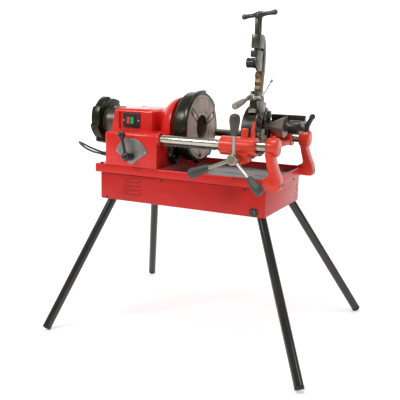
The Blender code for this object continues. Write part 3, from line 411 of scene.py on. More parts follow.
def block(low, high, width=0.0015, segments=3):
    low, high = Vector(low), Vector(high)
    bm = bmesh.new()
    place = Matrix.Translation((low + high) / 2) @ Matrix.Diagonal((*(high - low), 1))
    bmesh.ops.create_cube(bm, size=1, matrix=place)
    return soften(bm, width, segments) if width else bm


def rod(start, end, radius, end_radius=None, sides=48, width=0.001, segments=3):
    bm = bmesh.new()
    start, end = Vector(start), Vector(end)
    turn = (end - start).to_track_quat("Z", "Y").to_matrix().to_4x4()
    bmesh.ops.create_cone(bm, cap_ends=True, segments=sides, radius1=radius,
                          radius2=radius if end_radius is None else end_radius, depth=(end - start).length,
                          matrix=Matrix.Translation((start + end) / 2) @ turn)
    return soften(bm, width, segments, 50) if width else bm


def orb(centre, radius, scale=(1, 1, 1), sides=40):
    bm = bmesh.new()
    bmesh.ops.create_uvsphere(bm, u_segments=sides, v_segments=sides // 2, radius=radius,
                              matrix=Matrix.Translation(centre) @ Matrix.Diagonal((*scale, 1)))
    return bm


def lathe(profile, centre, axis, steps=96, closed=True):
    """Spin (radius, distance) pairs about an axis: the axis direction is where distance counts to."""
    bm = bmesh.new()
    axis = Vector(axis).normalized()
    across = axis.orthogonal().normalized()
    corners = [bm.verts.new(Vector(centre) + across * radius + axis * along) for radius, along in profile]
    chain = [bm.edges.new(pair) for pair in zip(corners, corners[1:])]
    if closed:
        chain.append(bm.edges.new((corners[-1], corners[0])))
    bmesh.ops.spin(bm, geom=corners + chain, cent=centre, axis=axis, angle=math.tau, steps=steps,
                   use_merge=True)
    return tidy(bm)


def plate(points, axis, low, high, width=0.001, segments=2, sharper=30.0):
    """A flat outline pulled out along an axis. Points are (y, z), (x, z) or (x, y) for X, Y and Z."""
    bm = bmesh.new()
    spots = {"X": lambda a, b: (low, a, b), "Y": lambda a, b: (a, low, b), "Z": lambda a,
             b: (a, b, low)}[axis]
    face = bm.faces.new([bm.verts.new(spots(a, b)) for a, b in points])
    pull = Vector([high - low if axis == name else 0 for name in "XYZ"])
    lifted = bmesh.ops.extrude_face_region(bm, geom=[face], use_keep_orig=True)
    bmesh.ops.translate(bm, vec=pull, verts=[v for v in lifted["geom"] if isinstance(v, bmesh.types.BMVert)])
    tidy(bm)
    return soften(bm, width, segments, sharper) if width else bm


def arc(centre, radius, first, last, count):
    angles = [math.radians(first + (last - first) * i / (count - 1)) for i in range(count)]
    return [(centre[0] + radius * math.cos(a), centre[1] + radius * math.sin(a)) for a in angles]


def around_axis(angle, centre=(0, 0, 0)):
    """A turn about a line along X through a point."""
    return Matrix.Translation(centre) @ Matrix.Rotation(math.radians(angle), 4, "X")


def turned_copy(bm, matrix):
    bm.transform(matrix)
    return bm


# Putting pieces in place
def piece(name, bm, look, body, replaces=(), angle=32):
    bmesh.ops.translate(bm, vec=(SHIFT, 0, 0), verts=bm.verts)
    mesh = bpy.data.meshes.new(name)
    bm.to_mesh(mesh)
    bm.free()
    mesh.shade_smooth()
    mesh.set_sharp_from_angle(angle=math.radians(angle))
    mesh.materials.append(look)
    made = bpy.data.objects.new(name, mesh)
    scene.collection.objects.link(made)
    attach(made, body)
    if replaces:
        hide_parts(*replaces)
    return made


def refinish(look, *names):
    for name in names:
        for holder in nodes[name].material_slots:
            holder.material = look


def screw_head(spot, direction, radius, height=0.002, socket="hex"):
    """A small screw head with a socket or a cross slot."""
    direction = Vector(direction).normalized()
    spot = Vector(spot)
    profile = [(0, height), (radius * 0.8, height), (radius, height * 0.55), (radius, 0), (0, 0)]
    head = lathe(profile, spot, direction, 32, closed=False)
    if socket == "hex":
        tool = rod(spot + direction * height * 0.3, spot + direction * (height + 0.002), radius * 0.48,
                   sides=6, width=0)
        return carve(head, tool)
    side = direction.orthogonal().normalized()
    other = direction.cross(side)
    tools = []
    for one, two in ((side, other), (other, side)):
        basis = Matrix((one, two, direction)).transposed().to_4x4()
        bar = block((-radius * 0.62, -radius * 0.11, height * 0.35),
                    (radius * 0.62, radius * 0.11, height * 2), 0)
        tools.append(turned_copy(bar, Matrix.Translation(spot) @ basis))
    return carve(head, *tools)


# Mains lead
CORD_STOPS = [
    (-0.3353, -0.1750, 0.6500), (-0.3480, -0.1750, 0.6503), (-0.3720, -0.1740, 0.6535),
    (-0.4040, -0.1680, 0.6610), (-0.4370, -0.1560, 0.6715), (-0.4640, -0.1370, 0.6785),
    (-0.4790, -0.1110, 0.6760), (-0.4800, -0.0830, 0.6650), (-0.4670, -0.0570, 0.6500),
    (-0.4400, -0.0370, 0.6360), (-0.4080, -0.0230, 0.6265), (-0.3750, -0.0080, 0.6205),
    (-0.3480, 0.0180, 0.6195), (-0.3365, 0.0550, 0.6194), (-0.3360, 0.0900, 0.6194)]
COIL = (-0.290, 0.147)
CORD_R = 0.004


def smooth_line(stops, per_stretch):
    line = []
    for i in range(len(stops) - 1):
        before = stops[max(i - 1, 0)]
        start, end = stops[i], stops[i + 1]
        after = stops[min(i + 2, len(stops) - 1)]
        for step in range(per_stretch):
            t = step / per_stretch
            line.append(0.5 * (2 * start + (end - before) * t
                               + (2 * before - 5 * start + 4 * end - after) * t ** 2
                               + (3 * start - before - 3 * end + after) * t ** 3))
    return line + [stops[-1]]


def coil_point(turn):
    """The coil runs clockwise seen from above, outer turn then inner, up through three layers."""
    angle = math.radians(205) - math.tau * turn
    lanes = (0.046, 0.038, 0.038, 0.046, 0.046, 0.038)
    floors = (0.6194, 0.6194, 0.6275, 0.6275, 0.6356, 0.6356)
    index = min(int(turn), 5)
    ahead = min(index + 1, 5)
    blend = max(0.0, (turn - index - 0.72) / 0.28) if index < 5 else 0.0
    blend = blend * blend * (3 - 2 * blend)
    radius = lanes[index] + (lanes[ahead] - lanes[index]) * blend
    if turn < 0.2:
        radius += 0.0065 * (1 - turn / 0.2) ** 2
    height = floors[index] + (floors[ahead] - floors[index]) * blend
    return Vector((COIL[0] + radius * math.cos(angle), COIL[1] + radius * math.sin(angle), height))


def lay_cord():
    stops = [Vector(stop) for stop in CORD_STOPS]
    turns = 5.40
    steps = 24
    coil = [coil_point(i / steps) for i in range(1, int(turns * steps) + 1)]
    tail = [Vector((-0.2560, 0.1760, 0.6335)), Vector((-0.2388, 0.1692, 0.6298))]
    route = smooth_line(stops + [coil[0]], 3)[:-1] + coil[:-1] + smooth_line([coil[-1], *tail], 4)
    curve = bpy.data.curves.new("mains_lead", "CURVE")
    curve.dimensions = "3D"
    curve.bevel_depth = CORD_R
    curve.bevel_resolution = 4
    curve.use_fill_caps = True
    line = curve.splines.new("POLY")
    line.points.add(len(route) - 1)
    for place, point in zip(line.points, route):
        place.co = (point.x + SHIFT, point.y, point.z, 1)
    line.use_smooth = True
    curve.materials.append(CORD_GREY)
    lead = bpy.data.objects.new("mains_lead", curve)
    scene.collection.objects.link(lead)
    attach(lead, "base")
    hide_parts("power_cord", "cord_coil")
    floor = 0.6153
    plug = gather(
        block((-0.2150, 0.150, floor), (-0.172, 0.188, floor + 0.030), 0.007, 4),
        rod((-0.2385, 0.169, floor + 0.0145), (-0.213, 0.169, floor + 0.0145), 0.0055, 0.0085, 32),
        *[block((-0.206 + 0.008 * i, 0.1495, floor + 0.006), (-0.203 + 0.008 * i, 0.1885, floor + 0.0245),
                0.001)
          for i in range(4)])
    plug_piece = piece("plug_body", plug, RUBBER, "base", ("power_plug",))
    pins = gather(*[rod((-0.174, y, floor + 0.015), (-0.153, y, floor + 0.015), 0.0024, sides=24)
                    for y in (0.1595, 0.1785)])
    pin_piece = piece("plug_pins", pins, CHROME, "base")
    profile = [(0.0045, GLAND_REACH), (0.0062, 0.0345), (0.0068, 0.0300), (0.0060, 0.0290), (0.0072, 0.0250),
               (0.0064, 0.0240), (0.0078, 0.0200), (0.0070, 0.0190), (0.0084, 0.0150), (0.0076, 0.0140),
               (0.0088, 0.0092), (0.0118, 0.0086), (0.0120, 0.0070), (0.0120, 0.0004), (0.0045, 0.0004)]
    gland = lathe(profile, (HEAD_LEFT, *CORD_EXIT), (-1, 0, 0), 40)
    gland_piece = piece("lead_gland", gland, RUBBER, "base", ("cord_gland",))


# Stand
def build_stand():
    outer = block((-CAB_X, -CAB_Y, cab_low.z), (CAB_X, CAB_Y, cab_high.z), 0.004, 3)
    wall = 0.002
    tools = [block((wall - CAB_X, wall - CAB_Y, cab_low.z + wall),
                   (CAB_X - wall, CAB_Y - wall, cab_high.z + 0.02), 0)]
    slots = [0.512 + 0.0153 * row for row in range(4)]
    for height in slots:
        tools.append(block((-0.233, -CAB_Y - 0.01, height - 0.0022), (-0.157, -CAB_Y + 0.01, height + 0.0014),
                           0))
    tools.append(rod((0.291, -CAB_Y - 0.01, 0.4985), (0.291, -CAB_Y + 0.01, 0.4985), 0.0105, width=0))
    piece("cabinet_shell", carve(outer, *tools), RED, "base", ("cabinet",))
    hoods = []
    for height in slots:
        hood = rod((-0.2345, -CAB_Y + 0.0010, height + 0.0028), (-0.1555, -CAB_Y + 0.0010, height + 0.0028),
                   0.0038, sides=24, width=0.0025)
        hoods.append(hood)
    piece("cabinet_louvres", gather(*hoods), RED, "base")
    hem = gather(*[block((-CAB_X + 0.003, side * (CAB_Y - 0.0006) - 0.0008, 0.5745),
                         (CAB_X - 0.003, side * (CAB_Y - 0.0006) + 0.0008, 0.5795), 0.0006)
                   for side in (-1, 1)])
    piece("cabinet_hem", hem, RED, "base")
    plug_profile = [(0, 0.0014), (0.0064, 0.0014), (0.0064, 0.0062), (0.0100, 0.0066), (0.0135, 0.0060),
                    (0.0152, 0.0040), (0.0155, 0.0004), (0, 0.0004)]
    drain = lathe(plug_profile, (0.291, -CAB_Y, 0.4985), (0, -1, 0), 48, closed=False)
    piece("drain_cap", drain, BLACK, "base", ("drain_plug",))
    hexagon = lathe([(0.0058, 0.0052), (0.0058, 0.0016), (0.0070, 0.0016), (0.0070, 0.0052)],
                    (0.291, -CAB_Y, 0.4985), (0, -1, 0), 6)
    piece("drain_socket", hexagon, SATIN, "base")
    for side in ("left", "right"):
        for row in ("front", "rear"):
            build_leg(row, side)
    spots = [(-0.067, -CAB_Y, 0.573), (-0.302, -CAB_Y, 0.489), (0.255, -CAB_Y, 0.573), (0.302, -CAB_Y, 0.573)]
    heads = [screw_head(spot, (0, -1, 0), 0.0042, 0.0022, "cross") for spot in spots]
    heads += [screw_head((CAB_X, y, 0.573), (1, 0, 0), 0.0042, 0.0022, "cross") for y in (-0.12, 0.12)]
    heads += [screw_head((-CAB_X, y, 0.573), (-1, 0, 0), 0.0042, 0.0022, "cross") for y in (-0.12, 0.12)]
    piece("cabinet_screws", gather(*heads), BLACK, "base")


def build_leg(row, side):
    """A tube leg, from its place under the cabinet to the middle of its end cap."""
    low, high = size_of(f"leg_{row}_{side}")
    across = 1 if side == "right" else -1
    out = -1 if row == "front" else 1
    top = Vector(((0.310 if side == "right" else -0.292), 0.160 * out, high.z))
    foot = Vector((0.549 if side == "right" else -0.441, 0.394 * out, -0.00076))
    along = (top - foot).normalized()
    end = foot + along * (RAIL_R * math.tan(math.acos(along.z)))
    seat = end + along * 0.012
    tube = rod(seat, top + along * 0.03, RAIL_R, sides=64, width=0)
    bore = rod(seat - along * 0.02, top + along * 0.06, RAIL_R - 0.002, sides=64, width=0)
    lid = block(top + Vector((-0.1, -0.1, 0)), top + Vector((0.1, 0.1, 0.1)), 0)
    piece(f"leg_tube_{row}_{side}", carve(tube, bore, lid), LEG_BLACK, "base",
          (f"leg_{row}_{side}",))
    foot_cap = rod(end, seat - along * 0.0003, RAIL_R, sides=64, width=0.0018)
    foot_cap = carve(foot_cap, rod(end - along * 0.01, end + along * 0.0012, 0.0095, sides=48, width=0))
    piece(f"leg_plug_{row}_{side}", foot_cap, RUBBER, "base", (f"leg_cap_{row}_{side}",))


def build_pan():
    low, high = pan_low.z, pan_high.z
    wall = 0.005
    pan = block((-PAN_X, -PAN_Y, low), (PAN_X, PAN_Y, high), 0.005, 4)
    tools = [
        block((BULKHEAD + 0.001, wall - PAN_Y, low + wall), (PAN_X - wall, PAN_Y - wall, high + 0.02), 0.002,
              2),
        block((-0.040, -0.165, low - 0.01), (0.320, 0.165, high), 0),
        block((wall - PAN_X, wall - PAN_Y, low - 0.01), (BULKHEAD - 0.005, PAN_Y - wall, high - wall), 0),
        block((-0.293, -0.085, low), (-0.130, 0.085, high + 0.01), 0)]
    piece("pan_casting", carve(pan, *tools), LIP, "base", ("base_pan",))
    tray_low, tray_high = size_of("chip_tray")
    left, right = tray_low.x - SHIFT, tray_high.x - SHIFT
    sheet = block((left, tray_low.y, tray_low.z), (right, tray_high.y, tray_high.z), 0.001, 2)
    slots = []
    for column in range(3):
        for row in range(3):
            x, y = 0.015 + 0.120 * column, -0.110 + 0.110 * row
            slots.append(block((x - 0.035, y - 0.004, 0.5), (x + 0.035, y + 0.004, 0.65), 0))
    piece("tray_sheet", carve(sheet, *slots), TRAY, "base", ("chip_tray",))
    bolts = gather(*[screw_head((x, y, high), (0, 0, 1), 0.006, 0.005, "hex")
                     for x, y in ((-0.325, -0.185), (-0.325, 0.185))])
    piece("pan_bolts", bolts, BLACK, "base")


# Headstock
def build_headstock():
    bottom = pan_high.z + 0.0003
    top_and_corner = lambda spot: spot.z > LEDGE_Z - 0.001 or (spot.x < HEAD_LEFT + 0.001
                                                               and abs(spot.z - 0.677) < 0.03)
    lower = soften(block((HEAD_LEFT, HEAD_FRONT, bottom), (BULKHEAD - 0.0008, HEAD_BACK, LEDGE_Z), 0),
                   0.010, 5, wanted=top_and_corner)
    soften(lower, 0.0025, 2, 50, wanted=lambda spot: spot.y < HEAD_FRONT + 0.001 or spot.x > BULKHEAD - 0.002)
    hood = block((-0.341, -HOOD_Y, 0.723), (-0.156, HOOD_Y, HOOD_Z), 0)
    for vert in hood.verts:
        if vert.co.x < -0.3 and vert.co.z > HOOD_Z - 0.01:
            vert.co.x = -0.320
    soften(hood, 0.015, 6, wanted=lambda spot: spot.z > HOOD_Z - 0.001)
    soften(hood, 0.004, 3, 60, wanted=lambda spot: spot.z < HOOD_Z - 0.02)
    wall = block((-0.127, HEAD_BACK - 0.01, bottom + 0.0004),
                 (BULKHEAD - 0.0004, -HEAD_FRONT, LEDGE_Z - 0.0006),
                 0.004, 3)
    bell_profile = [(0.0, BULKHEAD), (0.1070, BULKHEAD), (0.1080, BULKHEAD - 0.001), (0.1080, -0.0850),
                    (0.1065, -0.0930), (0.1035, -0.1010), (0.0990, -0.1100), (0.0930, -0.1190),
                    (0.0850, -0.1270), (0.0760, -0.1345), (0.0690, -0.1400), (0.0640, -0.1460),
                    (0.0615, -0.1530), (0.0610, -0.1750), (0.0, -0.1750)]
    bell = lathe(bell_profile, (0, 0, AXIS_Z), (1, 0, 0), 128, closed=False)
    whole = fuse(lower, hood, wall, bell)
    tools = [
        block((-0.294, -0.196, 0.5), (-0.196, 0.086, LEDGE_Z - 0.006), 0),
        block((-0.188, -0.1955, 0.5), (-0.101, 0.0855, LEDGE_Z - 0.014), 0),
        block((-0.303, -0.0895, LEDGE_Z - 0.008), (-0.160, 0.1000, HOOD_Z - 0.006), 0),
        rod((-0.36, 0, AXIS_Z), (-0.07, 0, AXIS_Z), 0.0563, sides=96, width=0),
        rod((-0.1225, 0, AXIS_Z), (-0.1015, 0, AXIS_Z), 0.083, sides=64, width=0),
        rod((-0.1018, 0, AXIS_Z), (-0.07, 0, AXIS_Z), 0.0625, sides=96, width=0),
        block((-0.301, -HOOD_Y - 0.02, 0.741), (-0.201, -0.098, 0.806), 0),
        block((-0.273, -HOOD_Y - 0.02, 0.751), (-0.224, -0.08, 0.793), 0),
        rod((-0.1835, HEAD_FRONT - 0.02, 0.653), (-0.1835, HEAD_FRONT + 0.012, 0.653), 0.0086, width=0),
        rod((HEAD_LEFT - 0.02, *CORD_EXIT), (HEAD_LEFT + 0.02, *CORD_EXIT), 0.0075, width=0)]
    for side in (-1, 1):
        tools.append(rod((-0.1005, side * RAIL_Y, RAIL_Z), (-0.05, side * RAIL_Y, RAIL_Z), RAIL_R + 0.0004,
                         width=0))
    piece("headstock_casting", carve(whole, *tools), CAST_RED, "base", ("headstock_housing",),
          28)
    collars = [lathe([(0.024, BULKHEAD - 0.001), (0.024, BULKHEAD + 0.002), (0.0225, BULKHEAD + 0.004),
                      (0.0165, BULKHEAD + 0.004), (0.0165, BULKHEAD - 0.001)],
                     (0, side * RAIL_Y, RAIL_Z), (1, 0, 0), 64) for side in (-1, 1)]
    piece("rail_collars", gather(*collars), CAST_RED, "base")
    heads = [screw_head((x, y, HOOD_Z), (0, 0, 1), 0.0050, 0.0022, "cross")
             for x, y in ((-0.300, -0.075), (-0.175, -0.075), (-0.300, 0.075), (-0.175, 0.075))]
    piece("hood_screws", gather(*heads), SCREW, "base")
    refinish(BRONZE, "front_bush", "rear_bush")
    refinish(DARK_STEEL, "spindle_gear", "idler_gear", "motor_pinion")
    refinish(IRON, "motor")
    tube = [(SPINDLE_R, -0.046), (SPINDLE_R, -0.400), (0.044, -0.400), (0.044, -0.046)]
    piece("spindle_tube", lathe(tube, (0, 0, AXIS_Z), (1, 0, 0), 96), CHUCK_STEEL, "spindle",
          ("spindle",))
    cover = [(0, -0.0597), (0.030, -0.0597), (0.0350, -0.0605), (0.0400, -0.0630), (0.0425, -0.0670),
             (0.0430, BULKHEAD + 0.0004), (0, BULKHEAD + 0.0004)]
    piece("pump_cover", lathe(cover, (0, -0.080, 0.663), (1, 0, 0), 64, closed=False), BLACK, "base",
          ("oil_pump",))
    piece("pump_screw", gather(*[screw_head((-0.0598, -0.080 + 0.026 * math.cos(a),
                                             0.663 + 0.026 * math.sin(a)),
                                            (1, 0, 0), 0.0042, 0.0022, "cross")
                                 for a in (math.radians(200), math.radians(-40), math.radians(80))]),
          SCREW, "base")


def build_switch():
    back = -0.098 - 0.0003
    front = back - 0.003
    panel = soften(block((-0.286, front, 0.7465), (-0.2115, back, 0.8005), 0), 0.006, 4, 60,
                   wanted=lambda spot: abs(spot.y - (front + back) / 2) < 0.0004)
    soften(panel, 0.0008, 2, 50, wanted=lambda spot: spot.y < front + 0.0003)
    body = block((-0.271, back - 0.001, 0.753), (-0.226, -0.070, 0.791), 0.002, 2)
    frame_bead = [block((-0.2725, front - 0.0022, 0.7555), (-0.2315, front + 0.001, 0.7905), 0.0016, 3)]
    middles = {"stop_button": -0.2605, "start_button": -0.2435}
    wells = [block((x - 0.0070, -0.12, 0.7595), (x + 0.0070, -0.0900, 0.7865), 0) for x in middles.values()]
    piece("switch_panel", carve(fuse(panel, body, *frame_bead), *wells), PANEL, "base",
          ("switch_unit",))
    for name, x in middles.items():
        look, slot, body_name = ((STOP, "stop_red", "stop") if name == "stop_button"
                                 else (GO, "start_green", "start"))
        cap = block((x - 0.0066, -0.1053, 0.7600), (x + 0.0066, -0.0935, 0.7860), 0.0018, 4)
        dish = orb((x, -0.1145, 0.773), 0.0105, (0.9, 1, 1.5))
        piece(f"{body_name}_cap", carve(cap, dish), look, body_name, (name,))
    mark = lathe([(0.0042, 0.0008), (0.0042, -0.0006), (0.0030, -0.0006), (0.0030, 0.0008)],
                 (-0.2605, -0.1042, 0.773), (0, -1, 0), 32)
    piece("stop_mark", mark, LEVER_GREY, "stop")
    line = block((-0.2441, -0.1050, 0.7690), (-0.2429, -0.1036, 0.7770), 0.0003, 1)
    piece("start_mark", line, LEVER_GREY, "start")
    heads = [screw_head((x, front, 0.7735), (0, -1, 0), 0.0042, 0.0018, "cross") for x in (-0.2815, -0.2165)]
    piece("switch_screws", gather(*heads), SCREW, "base")


def build_gear_lever():
    middle = (-0.1835, 0.653)
    face = HEAD_FRONT - 0.0003
    fan = arc(middle, 0.0675, 13, 167, 40) + [(-0.213, 0.6445)]
    fan += arc((middle[0], 0.641), 0.016, 205, 335, 16) + [(-0.154, 0.6445)]
    hole = rod((middle[0], face - 0.02, middle[1]), (middle[0], face + 0.01, middle[1]), 0.0085, width=0)
    notches = []
    for angle in range(30, 151, 15):
        a = math.radians(angle)
        spot = Vector((middle[0] + 0.055 * math.cos(a), 0, middle[1] + 0.055 * math.sin(a)))
        notches.append(rod((spot.x, face - 0.01, spot.z), (spot.x, face - 0.0018, spot.z), 0.0018, sides=20,
                           width=0))
    sector = carve(plate(fan, "Y", face - 0.003, face, 0.0006, 2, 50), hole, *notches)
    piece("sector_face", sector, ALUMINIUM, "base", ("sector_plate",))
    corners = [(middle[0] + 0.061 * math.cos(math.radians(a)), face - 0.003,
                middle[1] + 0.061 * math.sin(math.radians(a)))
               for a in (18, 162, 90)]
    piece("sector_screws", gather(*[screw_head(c, (0, -1, 0), 0.0036, 0.0018, "cross") for c in corners]),
          SCREW, "base")
    front = face - 0.0033
    centre = Vector((middle[0] - 0.002, -0.238, 0.656))
    knob = Vector((-0.204, -0.238, 0.732))
    hub_profile = [(0, 0.0160), (0.0110, 0.0160), (0.0135, 0.0140), (0.0145, 0.0100), (0.0145, 0.0030),
                   (0.0135, 0.0), (0, 0.0)]
    hub = lathe(hub_profile, (middle[0], front, middle[1]), (0, -1, 0), 48, closed=False)
    shaft = rod((middle[0], front - 0.001, middle[1]), (middle[0], -0.193, middle[1]), 0.0081, width=0)
    neck = rod((middle[0], front - 0.014, middle[1]), centre, 0.0105, 0.0120, 40, 0)
    stem = rod(centre, knob, 0.0056, 0.0040, 32, 0)
    collar = rod(knob + (centre - knob).normalized() * 0.0125, knob + (centre - knob).normalized() * 0.0165,
                 0.0062,
                 sides=32)
    piece("gear_lever_arm", gather(hub, shaft, neck, orb(centre, 0.0165), stem, collar), BLACK, "lever",
          ("gear_lever",))
    piece("lever_ball", orb(knob, 0.0145), BLACK, "lever", ("lever_knob",))


# Chucks
def lobed_rim(centre, peak, notch, count, phase, x_low, x_high, width, sides=384):
    """A hand ring's rim: a disc whose edge has long lobes, each ending in a short step down to a notch."""
    bm = bmesh.new()
    rim = bmesh.ops.create_circle(bm, cap_ends=True, segments=sides, radius=1)["verts"]
    pitch = math.tau / count
    step = 0.08
    for vert in rim:
        angle = math.atan2(vert.co.y, vert.co.x)
        along = ((math.radians(phase) - angle) % pitch) / pitch
        share = (1 - along) / step if along > 1 - step else (along / (1 - step)) ** 1.25
        radius = notch + (peak - notch) * share
        vert.co = Vector((x_low, centre[0] + radius * math.cos(angle), centre[1] + radius * math.sin(angle)))
    pulled = bmesh.ops.extrude_face_region(bm, geom=bm.faces[:], use_keep_orig=True)
    moved = [v for v in pulled["geom"] if isinstance(v, bmesh.types.BMVert)]
    bmesh.ops.translate(bm, vec=(x_high - x_low, 0, 0), verts=moved)
    tidy(bm)
    return soften(bm, width, 3, 60)


JAW_ANGLES = (143, 23, 263)
CHUCK_R = 0.1205
RING_R = 0.1288
RING_PEAK = 0.1382


def build_chuck():
    profile = [(CHUCK_R - 0.0015, 0), (CHUCK_R, -0.0015), (CHUCK_R, -0.024), (CHUCK_R - 0.004, -0.044),
               (0.112, -0.044),
               (0.112, -0.026), (0.066, -0.026), (0.0615, -0.030), (0.0615, -0.0785), (0.0503, -0.0785),
               (0.0503, -0.0457), (0.044, -0.0457), (0.044, -0.0020), (0.0460, 0), (0.0620, 0),
               (0.0630, -0.0012),
               (0.0645, -0.0012), (0.0655, 0), (0.1080, 0), (0.1090, -0.0014), (0.1105, -0.0014), (0.1115, 0)]
    body = lathe(profile, (0, 0, AXIS_Z), (1, 0, 0), 144)
    tools = []
    for angle in JAW_ANGLES:
        turn = around_axis(angle, (0, 0, AXIS_Z))
        tools.append(turned_copy(block((-0.018, 0.035, -0.012), (0.01, 0.112, 0.012), 0.0006, 1), turn))
        tools.append(turned_copy(block((-0.0060, 0.035, -0.0145), (-0.0035, 0.1125, 0.0145), 0), turn))
        for side in (-17, 17):
            spot = math.radians(angle + 60 + side)
            y, z = 0.056 * math.cos(spot), AXIS_Z + 0.056 * math.sin(spot)
            tools.append(rod((-0.008, y, z), (0.005, y, z), 0.0024, sides=20, width=0))
    piece("chuck_plate", carve(body, *tools), CHUCK_STEEL, "spindle", ("chuck_body",), 30)
    for index, angle in enumerate(JAW_ANGLES):
        turn = around_axis(angle, (0, 0, AXIS_Z))
        jaw = gather(block((-0.0177, 0.0475, -0.0117), (-0.0062, 0.104, 0.0117), 0.0006),
                     block((-0.0064, 0.0600, -0.0085), (-0.0006, 0.1040, 0.0085), 0.0008),
                     block((-0.0064, 0.0455, -0.0085), (-0.0025, 0.0605, 0.0085), 0.0006),
                     *[block((-0.0030, 0.0462 + 0.0034 * i, -0.0085), (-0.0008, 0.0480 + 0.0034 * i, 0.0085),
                             0.0005, 2)
                       for i in range(4)])
        piece(f"jaw_{index + 1}_block", turned_copy(jaw, turn), JAW_STEEL, f"jaw_{index + 1}",
              (f"chuck_jaw_{index + 1}",))
    rim = lobed_rim((0, AXIS_Z), RING_PEAK, 0.1285, 8, 30, -0.0170, 0, 0.0018)
    drum = lathe([(0, -0.0160), (RING_R, -0.0160), (RING_R, -0.0460), (0.1278, -0.0500), (0.1250, -0.0530),
                  (0.1200, -0.0540), (0, -0.0540)], (0, 0, AXIS_Z), (1, 0, 0), 160, closed=False)
    ring = fuse(drum, rim)
    cavity = lathe([(CHUCK_R + 0.001, 0.01), (CHUCK_R + 0.001, -0.0465), (0, -0.0465), (0, 0.01)],
                   (0, 0, AXIS_Z), (1, 0, 0), 144,
                   closed=True)
    hole = rod((-0.07, 0, AXIS_Z), (-0.03, 0, AXIS_Z), 0.0625, sides=96, width=0)
    piece("chuck_hand_ring", carve(ring, cavity, hole), RING_BLACK_PAINTED_REFLECTION, "front_ring",
          ("chuck_ring",), 30)


def build_rear_chuck():
    profile = [(0.0620, -0.3460), (0.0620, -0.3980), (0.0605, -0.3995), (0.0605, -0.4015), (0.0620, -0.4030),
               (0.0620, -0.4310), (0.0610, -0.4320), (0.0460, -0.4320), (0.0460, -0.4003), (0.0503, -0.4003),
               (0.0503, -0.3450), (0.0610, -0.3450)]
    piece("rear_collar", lathe(profile, (0, 0, AXIS_Z), (1, 0, 0), 128), DARK_STEEL, "spindle",
          ("rear_sleeve",))
    heads = [screw_head((-0.372, 0.0619 * math.cos(a), AXIS_Z + 0.0619 * math.sin(a)),
                        (0, math.cos(a), math.sin(a)),
                        0.0052, 0.0020, "cross") for a in (math.radians(-128), math.radians(-8),
                                                           math.radians(112))]
    piece("rear_collar_screws", gather(*heads), SCREW, "spindle")
    ring = lobed_rim((0, AXIS_Z), 0.098, 0.088, 8, 48, -0.442, -0.404, 0.004, 256)
    tools = [rod((-0.4328, 0, AXIS_Z), (-0.410, 0, AXIS_Z), 0.080, sides=96, width=0),
             rod((-0.42, 0, AXIS_Z), (-0.39, 0, AXIS_Z), 0.0625, sides=96, width=0),
             rod((-0.46, 0, AXIS_Z), (-0.42, 0, AXIS_Z), 0.046, sides=96, width=0)]
    piece("rear_hand_ring", carve(ring, *tools), RING_BLACK_PAINTED_REFLECTION, "back_ring", ("rear_ring",), 30)


# Rails, brackets and carriage
def build_rails():
    for name, side in (("front", -1), ("rear", 1)):
        rail = rod((-0.100, side * RAIL_Y, RAIL_Z), (RAIL_END, side * RAIL_Y, RAIL_Z), RAIL_R, sides=96,
                   width=0.001)
        piece(f"{name}_guide_rail", rail, CHROME, "base", (f"{name}_rail",))
        build_bracket(name, side)
    refinish(DARK_STEEL, "feed_rack")


def build_bracket(name, side):
    arm = [(0.328, 0.705), (0.332, 0.690), (0.336, 0.672), (0.341, 0.655), (0.345, 0.640), (0.3455, 0.634),
           (0.343, 0.629), (0.335, 0.6245), (0.328, 0.621), (0.326, 0.615), (0.326, 0.588), (0.330, 0.583),
           (0.380, 0.583), (0.385, 0.588), (0.385, 0.612), (0.381, 0.627), (0.375, 0.640), (0.370, 0.652),
           (0.364, 0.668), (0.359, 0.686), (0.354, 0.705)]
    ends = sorted((side * 0.211, side * 0.166))
    leg = plate(arm, "Y", *ends, 0.0035, 3, 60)
    boss_profile = [(0, 0.3685), (0.0240, 0.3685), (0.0280, 0.3672), (0.0302, 0.3645), (0.0310, 0.3610),
                    (0.0310, 0.3320), (0.0300, 0.3295), (0.0285, 0.3285), (0, 0.3285)]
    boss = lathe(boss_profile, (0, side * RAIL_Y, RAIL_Z + 0.002), (1, 0, 0), 96, closed=False)
    edge = side * (PAN_Y + 0.0003)
    corner = block((0.2, min(edge, 0), 0.5), (PAN_X + 0.0003, max(edge, 0), pan_high.z + 0.0003), 0)
    bore = rod((0.30, side * RAIL_Y, RAIL_Z), (RAIL_END + 0.0005, side * RAIL_Y, RAIL_Z), RAIL_R + 0.0003,
               width=0)
    pockets = [rod((0.380, side * y, 0.600), (0.40, side * y, 0.600), 0.0075, sides=32, width=0)
               for y in (0.176, 0.201)]
    piece(f"{name}_bracket", carve(fuse(leg, boss), corner, bore, *pockets), ORANGE, "base",
          (f"rail_bracket_{name}",), 28)
    bolts = [screw_head((0.3802, side * y, 0.600), (1, 0, 0), 0.0062, 0.0040) for y in (0.176, 0.201)]
    piece(f"{name}_bracket_bolts", gather(*bolts), BLACK, "base")
    nub = lathe([(0, 0.006), (0.0045, 0.006), (0.0058, 0.0048), (0.0062, 0.0005), (0.0062, -0.004),
                 (0, -0.004)],
                (0.349, side * RAIL_Y, RAIL_Z + 0.0322), (0, 0, 1), 32, closed=False)
    piece(f"{name}_bracket_nub", nub, ORANGE, "base")


